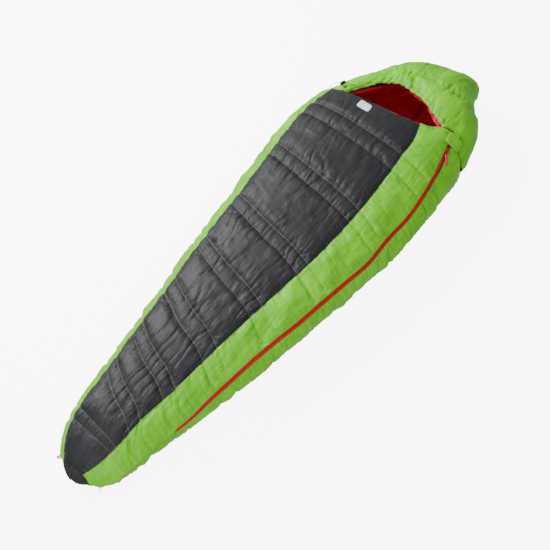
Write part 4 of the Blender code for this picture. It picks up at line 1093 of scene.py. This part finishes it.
rows2 = [("row", 2 * r) for r in SEAM_ROWS]
st = stitches("stitches_top", top_f, rows2, M_STITCH_L, c1 + 1, c2)
bend(st)
st = stitches("stitches_right_upper", top_f, rows2 + [("col", c1 - 1)], M_STITCH_G, 4, c1)
bend(st)
st = stitches("stitches_left_side", top_f, rows2 + [("col", c2 + 1)], M_STITCH_G, c2, top_f.P.shape[1] - 1)
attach(st, "bag")
st = stitches("stitches_right_lower", rl_f, [("row", 2 * r) for r in SEAM_ROWS], M_STITCH_G, 0, rl_f.P.shape[1] - 4)
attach(st, "bag")
st = stitches("stitches_hood", hood_f, [("row", 2 * HEM_ROW), ("row", 2 * CROWN_ROW)], M_STITCH_G, 0, hood_f.P.shape[1] - 1)
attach(st, "bag")
st = stitches("stitches_bottom", bot_f, rows2, M_STITCH_L, 0, bot_f.P.shape[1] - 1)
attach(st, "bag")


def piping(name, P, N, r, mat, lift=0.0):
    C = P + N * lift
    k = np.ones(len(C)) / 1.0
    return tube_mesh(name, C, r * k, mat, 8, 1.0, N)


nt = normals_of(top_f.P)
nt = nt * np.sign(np.sum(nt * top_f.out, -1, keepdims=True) + 1e-9)
pp = piping("seam_cord_right", top_f.P[2:-8, c1], nt[2:-8, c1], 0.0011, M_STITCH_G, 0.0)
bend(pp)
pp = piping("seam_cord_left", top_f.P[2:-8, c2], nt[2:-8, c2], 0.0011, M_STITCH_G, 0.0)
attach(pp, "bag")

# the thin bound edge along the neck of the quilt, and along the hood
e_row = 2 * (len(tS) - 1 - 3)
nk = top_f.P[e_row, :c2]
nn = nt[e_row, :c2]
pp = piping("neck_edge_green", nk[:c1 + 1], nn[:c1 + 1], 0.0013, M_EDGE_G, 0.0004)
bend(pp)
pp = piping("neck_edge_dark", nk[c1:], nn[c1:], 0.0013, M_EDGE_P, 0.0004)
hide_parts("neck_binding", "corner_binding")
bend(pp)
nh = normals_of(hood_f.P, True)
nh = nh * np.sign(np.sum(nh * hood_f.out, -1, keepdims=True) + 1e-9)
hp = np.interp(np.arange(hood_f.P.shape[1]) / 2.0, np.arange(len(H_COLS)), H_COLS)
sel = np.nonzero((hp > 14) & (hp < 131))[0]
pp = piping("hood_edge", hood_f.P[6, sel], nh[6, sel], 0.0013, M_EDGE_G, 0.0004)
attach(pp, "bag")

# --------------------------------------------------------------- the zip
TH = np.linspace(-ZIP_H, ZIP_H, 700)
arc = zip_frame(TH)


def zip_path(s):
    """Centre, tangent, width direction and normal of the zip as it lies."""
    d = zip_depth(s)
    C = wall(s, zip_line(s), d)
    e = 0.7
    Wd = wall(s, zip_line(s) + e, d) - wall(s, zip_line(s) - e, d)
    Wd /= np.linalg.norm(Wd, axis=1, keepdims=True)
    T = np.gradient(C, axis=0)
    T /= np.linalg.norm(T, axis=1, keepdims=True)
    k = np.argmin(np.linalg.norm(arc[0][None] - C[:, None], axis=2), 1)
    own = (d / 0.0030)[:, None]
    W2 = Wd * own + arc[2][k] * (1 - own)
    W2 -= T * np.sum(W2 * T, 1, keepdims=True)
    W2 /= np.linalg.norm(W2, axis=1, keepdims=True)
    N = np.cross(W2, T)
    N = N * np.sign(np.sum(N * arc[3][k], 1, keepdims=True))
    C = C * own + (arc[0][k] + 0 * C) * (1 - own)
    return C, T, W2, N


zs = np.linspace(S_ZIP_LOW + 0.001, S_ZIP_TOP - 0.003, 420)
zC, zT, zW, zN = zip_path(zs)
for side, sign, slot_n in (("upper", 1.0, "zip_tape"), ("lower", -1.0, "zip_tape")):
    lean = math.radians(24)
    W_, N_ = zW * math.cos(lean) - zN * (sign * math.sin(lean)), zN * math.cos(lean) + zW * (sign * math.sin(lean))
    tape = ribbon_mesh("zip_tape_cloth_" + side, zC + W_ * (sign * 0.0066) - N_ * 0.0008, W_, N_, 0.0056, 0.0009, M_TAPE)
    d = np.concatenate([[0], np.cumsum(np.linalg.norm(np.diff(zC, axis=0), axis=1))])
    t = np.arange(0.001 + (0.0012 if sign > 0 else 0.0), d[-1] - 0.001, 0.0024)
    i = np.interp(t, d, np.arange(len(zC)))

    def at(A):
        return np.stack([np.interp(i, np.arange(len(A)), A[:, q]) for q in range(3)], 1)
    C, T, W, N = at(zC), at(zT), at(zW), at(zN)
    teeth = boxes_mesh("zip_teeth_" + side, C + W * (sign * 0.0014) + N * 0.0002, W, T, N, (0.0021, 0.00075, 0.0011), M_COIL)
    if side == "upper":
        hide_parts("zip_tape_upper", "corner_zip_tape")
        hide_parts("zip_coil_upper", "corner_zip_coil")
        bend(tape)
        bend(teeth)
    else:
        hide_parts("zip_tape_lower")
        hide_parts("zip_coil_lower")
        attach(tape, "bag")
        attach(teeth, "bag")

# draught tube behind the zip, sewn to the lower side
s_ = np.linspace(S_ZIP_LOW + 0.006, S_ZIP_TOP - 0.014, 240)
dp = wall(s_, zip_line(s_) - 3.0, 0.0440)
bulge = 0.0088 * (1 + 0.10 * noise2(s_ * 60, s_ * 0, 77) + 0.06 * np.abs(np.sin(s_ * 1.7 * math.pi / 0.11)))
draft = tube_mesh("draught_tube_cloth", dp, bulge, M_RED, 16, 0.85)
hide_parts("draft_tube")
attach(draft, "bag")

# --------------------------------------------------------------- tab and label
def soft_plate(name, s0, s1, p0, p1, d0, thick, mat, n=(18, 30), corner=0.28, dome=0.0):
    """A flat sewn piece with rounded corners that follows the wall."""
    a = np.linspace(-1, 1, n[0])
    b = np.linspace(-1, 1, n[1])
    A, B = np.meshgrid(a, b, indexing="ij")
    # push the square grid into a rounded one
    k = np.maximum(np.abs(A), np.abs(B))
    L = (np.abs(A)**6 + np.abs(B)**6)**(1 / 6)
    q = np.where(L > 1e-9, k / np.maximum(L, 1e-9), 1.0)
    A2, B2 = A * q, B * q
    S, P = (s0 + s1) / 2 + (s1 - s0) / 2 * A2, (p0 + p1) / 2 + (p1 - p0) / 2 * B2
    edge = np.clip((1 - k) / 0.12, 0, 1)
    up = wall(S, P, d0 - thick * (0.30 + 0.70 * np.sqrt(edge)) - dome * (1 - k * k))
    lo = wall(S, P, d0)
    u, v = metre_uv(wall(S, P, d0))
    me = bpy.data.meshes.new(name)
    ni, nj = A.shape
    idx = np.arange(ni * nj).reshape(ni, nj)
    quads = np.stack([idx[:-1, :-1], idx[1:, :-1], idx[1:, 1:], idx[:-1, 1:]], -1).reshape(-1, 4)
    quads2 = quads[:, ::-1] + ni * nj
    ring = np.concatenate([idx[0, :], idx[1:, -1], idx[-1, ::-1][1:], idx[::-1, 0][1:-1]])
    r2 = np.roll(ring, -1)
    side = np.stack([ring, r2, r2 + ni * nj, ring + ni * nj], -1)
    F = np.concatenate([quads, quads2, side])
    co = np.concatenate([up.reshape(-1, 3), lo.reshape(-1, 3)])
    me.from_pydata(co.tolist(), [], F.tolist())
    bm = bmesh.new()
    bm.from_mesh(me)
    bmesh.ops.recalc_face_normals(bm, faces=bm.faces)
    bm.to_mesh(me)
    bm.free()
    add_uv(me, np.concatenate([u, u]), np.concatenate([v, v]))
    add_attr(me, "seam", np.full(2 * ni * nj, 0.05))
    add_attr(me, "side", np.full(2 * ni * nj, 0.05))
    ob = put(name, me)
    me.materials.append(mat)
    return ob


tab_ob = soft_plate("zip_tab_cloth", 0.8985, 0.9240, 30.0, 49.5, -0.0042, 0.0034, M_LIME)
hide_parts("zip_tab")
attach(tab_ob, "closure_tab")


def on_cloth(f, PHI, s, p):
    """Point and normal of a finished panel at s, p."""
    j = len(PHI[0]) // 2
    rows = np.arange(f.S.shape[0])
    jj = np.interp(p, PHI[int(np.argmin(np.abs(f.S[:, j] - s.mean())))], np.arange(f.S.shape[1]))
    ii = np.interp(s, f.S[:, int(jj.mean())][:len(rows) - 20], rows[:len(rows) - 20])
    out = []
    for G in (f.P, nt):
        i0, j0 = np.clip(ii.astype(int), 0, G.shape[0] - 2), np.clip(jj.astype(int), 0, G.shape[1] - 2)
        fi, fj = (ii - i0)[..., None], (jj - j0)[..., None]
        out.append((G[i0, j0] * (1 - fj) + G[i0, j0 + 1] * fj) * (1 - fi) + (G[i0 + 1, j0] * (1 - fj) + G[i0 + 1, j0 + 1] * fj) * fi)
    return out[0], out[1] / np.linalg.norm(out[1], axis=-1, keepdims=True)


lab_phi = finer(top.PHI)


def cloth_patch(name, s0, s1, p0, p1, thick, mat, lift=0.0006, n=(16, 22), power=6):
    """A thin sewn patch that lies on the simulated cloth."""
    A, B = np.meshgrid(np.linspace(-1, 1, n[0]), np.linspace(-1, 1, n[1]), indexing="ij")
    k = np.maximum(np.abs(A), np.abs(B))
    L = (np.abs(A)**power + np.abs(B)**power)**(1 / power)
    q = np.where(L > 1e-9, k / np.maximum(L, 1e-9), 1.0)
    P, N = on_cloth(top_f, lab_phi, (s0 + s1) / 2 + (s1 - s0) / 2 * A * q, (p0 + p1) / 2 + (p1 - p0) / 2 * B * q)
    edge = np.clip((1 - k) / 0.10, 0, 1)[..., None]
    up, lo = P + N * (lift + thick * (0.35 + 0.65 * np.sqrt(edge))), P + N * (lift - 0.0010)
    ni, nj = A.shape
    idx = np.arange(ni * nj).reshape(ni, nj)
    quads = np.stack([idx[:-1, :-1], idx[1:, :-1], idx[1:, 1:], idx[:-1, 1:]], -1).reshape(-1, 4)
    ring = np.concatenate([idx[0, :], idx[1:, -1], idx[-1, ::-1][1:], idx[::-1, 0][1:-1]])
    r2 = np.roll(ring, -1)
    F = np.concatenate([quads, quads[:, ::-1] + ni * nj, np.stack([ring, r2, r2 + ni * nj, ring + ni * nj], -1)])
    me = bpy.data.meshes.new(name)
    me.from_pydata(np.concatenate([up.reshape(-1, 3), lo.reshape(-1, 3)]).tolist(), [], F.tolist())
    bm = bmesh.new()
    bm.from_mesh(me)
    bmesh.ops.recalc_face_normals(bm, faces=bm.faces)
    bm.to_mesh(me)
    bm.free()
    ob = put(name, me)
    me.materials.append(mat)
    return ob


lab = cloth_patch("chest_label", 0.851, 0.873, 99.0, 108.0, 0.0009, M_WHITE)
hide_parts("label")
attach(lab, "bag")

# --------------------------------------------------------------- drawcord with its stopper
LOCK_S, LOCK_P = 0.902, 138.0


def w1(s, p, d=0.0):
    return wall(np.array(float(s)), np.array(float(p)), np.array(float(d)))


def unit(a):
    return a / np.linalg.norm(a)


_c = w1(LOCK_S, LOCK_P)
LOCK_T = unit(w1(LOCK_S, LOCK_P + 14) - w1(LOCK_S, LOCK_P - 3))
LOCK_N = unit(np.cross(LOCK_T, unit(w1(LOCK_S + 0.01, LOCK_P) - w1(LOCK_S - 0.01, LOCK_P))))
if LOCK_N[2] < 0:
    LOCK_N = -LOCK_N
SEG_A, SEG_B = _c + LOCK_N * 0.0125 - LOCK_T * 0.026, _c + LOCK_N * 0.0125 + LOCK_T * 0.040
route = [w1(.9140, 127, -.0030), w1(.9080, 129, -.0062), SEG_A] + [SEG_A + (SEG_B - SEG_A) * k for k in (.2, .4, .6, .8)] + [
    SEG_B, w1(.901, 158.5, -.0075), w1(.898, 164, -.0035), w1(.894, 170, -.0030), w1(.889, 175, -.0030), w1(.883, 179, -.0030)]


def smooth_route(pts, step):
    dense = []
    for i in range(len(pts) - 1):
        a, b, c, d = pts[max(i - 1, 0)], pts[i], pts[i + 1], pts[min(i + 2, len(pts) - 1)]
        for k in range(12):
            t = k / 12
            dense.append(0.5 * (2 * b + (c - a) * t + (2 * a - 5 * b + 4 * c - d) * t * t + (3 * b - a - 3 * c + d) * t**3))
    dense.append(pts[-1])
    dense = np.array(dense)
    run = np.concatenate([[0], np.cumsum(np.linalg.norm(np.diff(dense, axis=0), axis=1))])
    n = max(2, round(run[-1] / step))
    want = np.linspace(0, run[-1], n + 1)
    return np.stack([np.interp(want, run, dense[:, q]) for q in range(3)], 1), float(run[-1])


tail, TAIL_LEN = smooth_route(route, 0.0030)
cord = tube_mesh("drawcord_tail_cord", tail, 0.00125, M_CORD, 12, 1.0)
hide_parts("drawcord_tail")
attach(cord, "bag")

# --------------------------------------------------------------- finishes of the hard CAD pieces
for names, mat in ((("zip_slider", "zip_top_stop", "zip_bottom_stop", "corner_zip_stop"), M_METAL), (("zip_pull",), M_METAL),
                   (("pull_tab",), M_PULL), (("cord_lock", "lock_button"), M_PLASTIC), (("lock_spring",), M_STEEL),
                   (("cord_knot", "hood_drawcord"), M_CORD), (("hang_loop_left", "hang_loop_right"), M_WEB),
                   (("hook_patch", "loop_patch"), M_BLACK)):
    for nm in names:
        ob = NODES[nm]
        if not ob.data.materials:
            ob.data.materials.append(mat)
        for sl in ob.material_slots:
            sl.material = mat

# --------------------------------------------------------------- floor and light
me = bpy.data.meshes.new("floor")
me.from_pydata([(-9, -9, -0.0012), (9, -9, -0.0012), (9, 9, -0.0012), (-9, 9, -0.0012)], [], [(0, 1, 2, 3)])
floor = bpy.data.objects.new("floor", me)
SCENE.collection.objects.link(floor)
fm = bpy.data.materials.new("floor_white")
fm.use_nodes = True
fb = next(n for n in fm.node_tree.nodes if n.type == "BSDF_PRINCIPLED")
fb.inputs["Base Color"].default_value = (0.93, 0.93, 0.93, 1)
fb.inputs["Roughness"].default_value = 0.9
fb.inputs["Emission Color"].default_value = (1, 1, 1, 1)
fb.inputs["Emission Strength"].default_value = 7.0
me.materials.append(fm)
floor.visible_diffuse = floor.visible_glossy = False

world = bpy.data.worlds.new("studio")
world.use_nodes = True
bg = next(n for n in world.node_tree.nodes if n.type == "BACKGROUND")
bg.inputs[0].default_value = (1.0, 1.0, 1.0, 1)
bg.inputs[1].default_value = 0.58
SCENE.world = world


def area_light(name, at, aim, size, power, size_y=None):
    d = bpy.data.lights.new(name, "AREA")
    d.shape = "RECTANGLE"
    d.size, d.size_y, d.energy = size, size_y or size, power
    ob = bpy.data.objects.new(name, d)
    ob.location = at
    ob.rotation_mode = "QUATERNION"
    ob.rotation_quaternion = (Vector(aim) - Vector(at)).to_track_quat("-Z", "Y")
    SCENE.collection.objects.link(ob)
    return ob


area_light("key", (-2.9, 0.3, 2.3), (0.0, -0.1, 0.1), 0.9, 235.0)
area_light("fill", (1.4, -2.8, 2.0), (0.0, -0.4, 0.1), 1.4, 75.0)
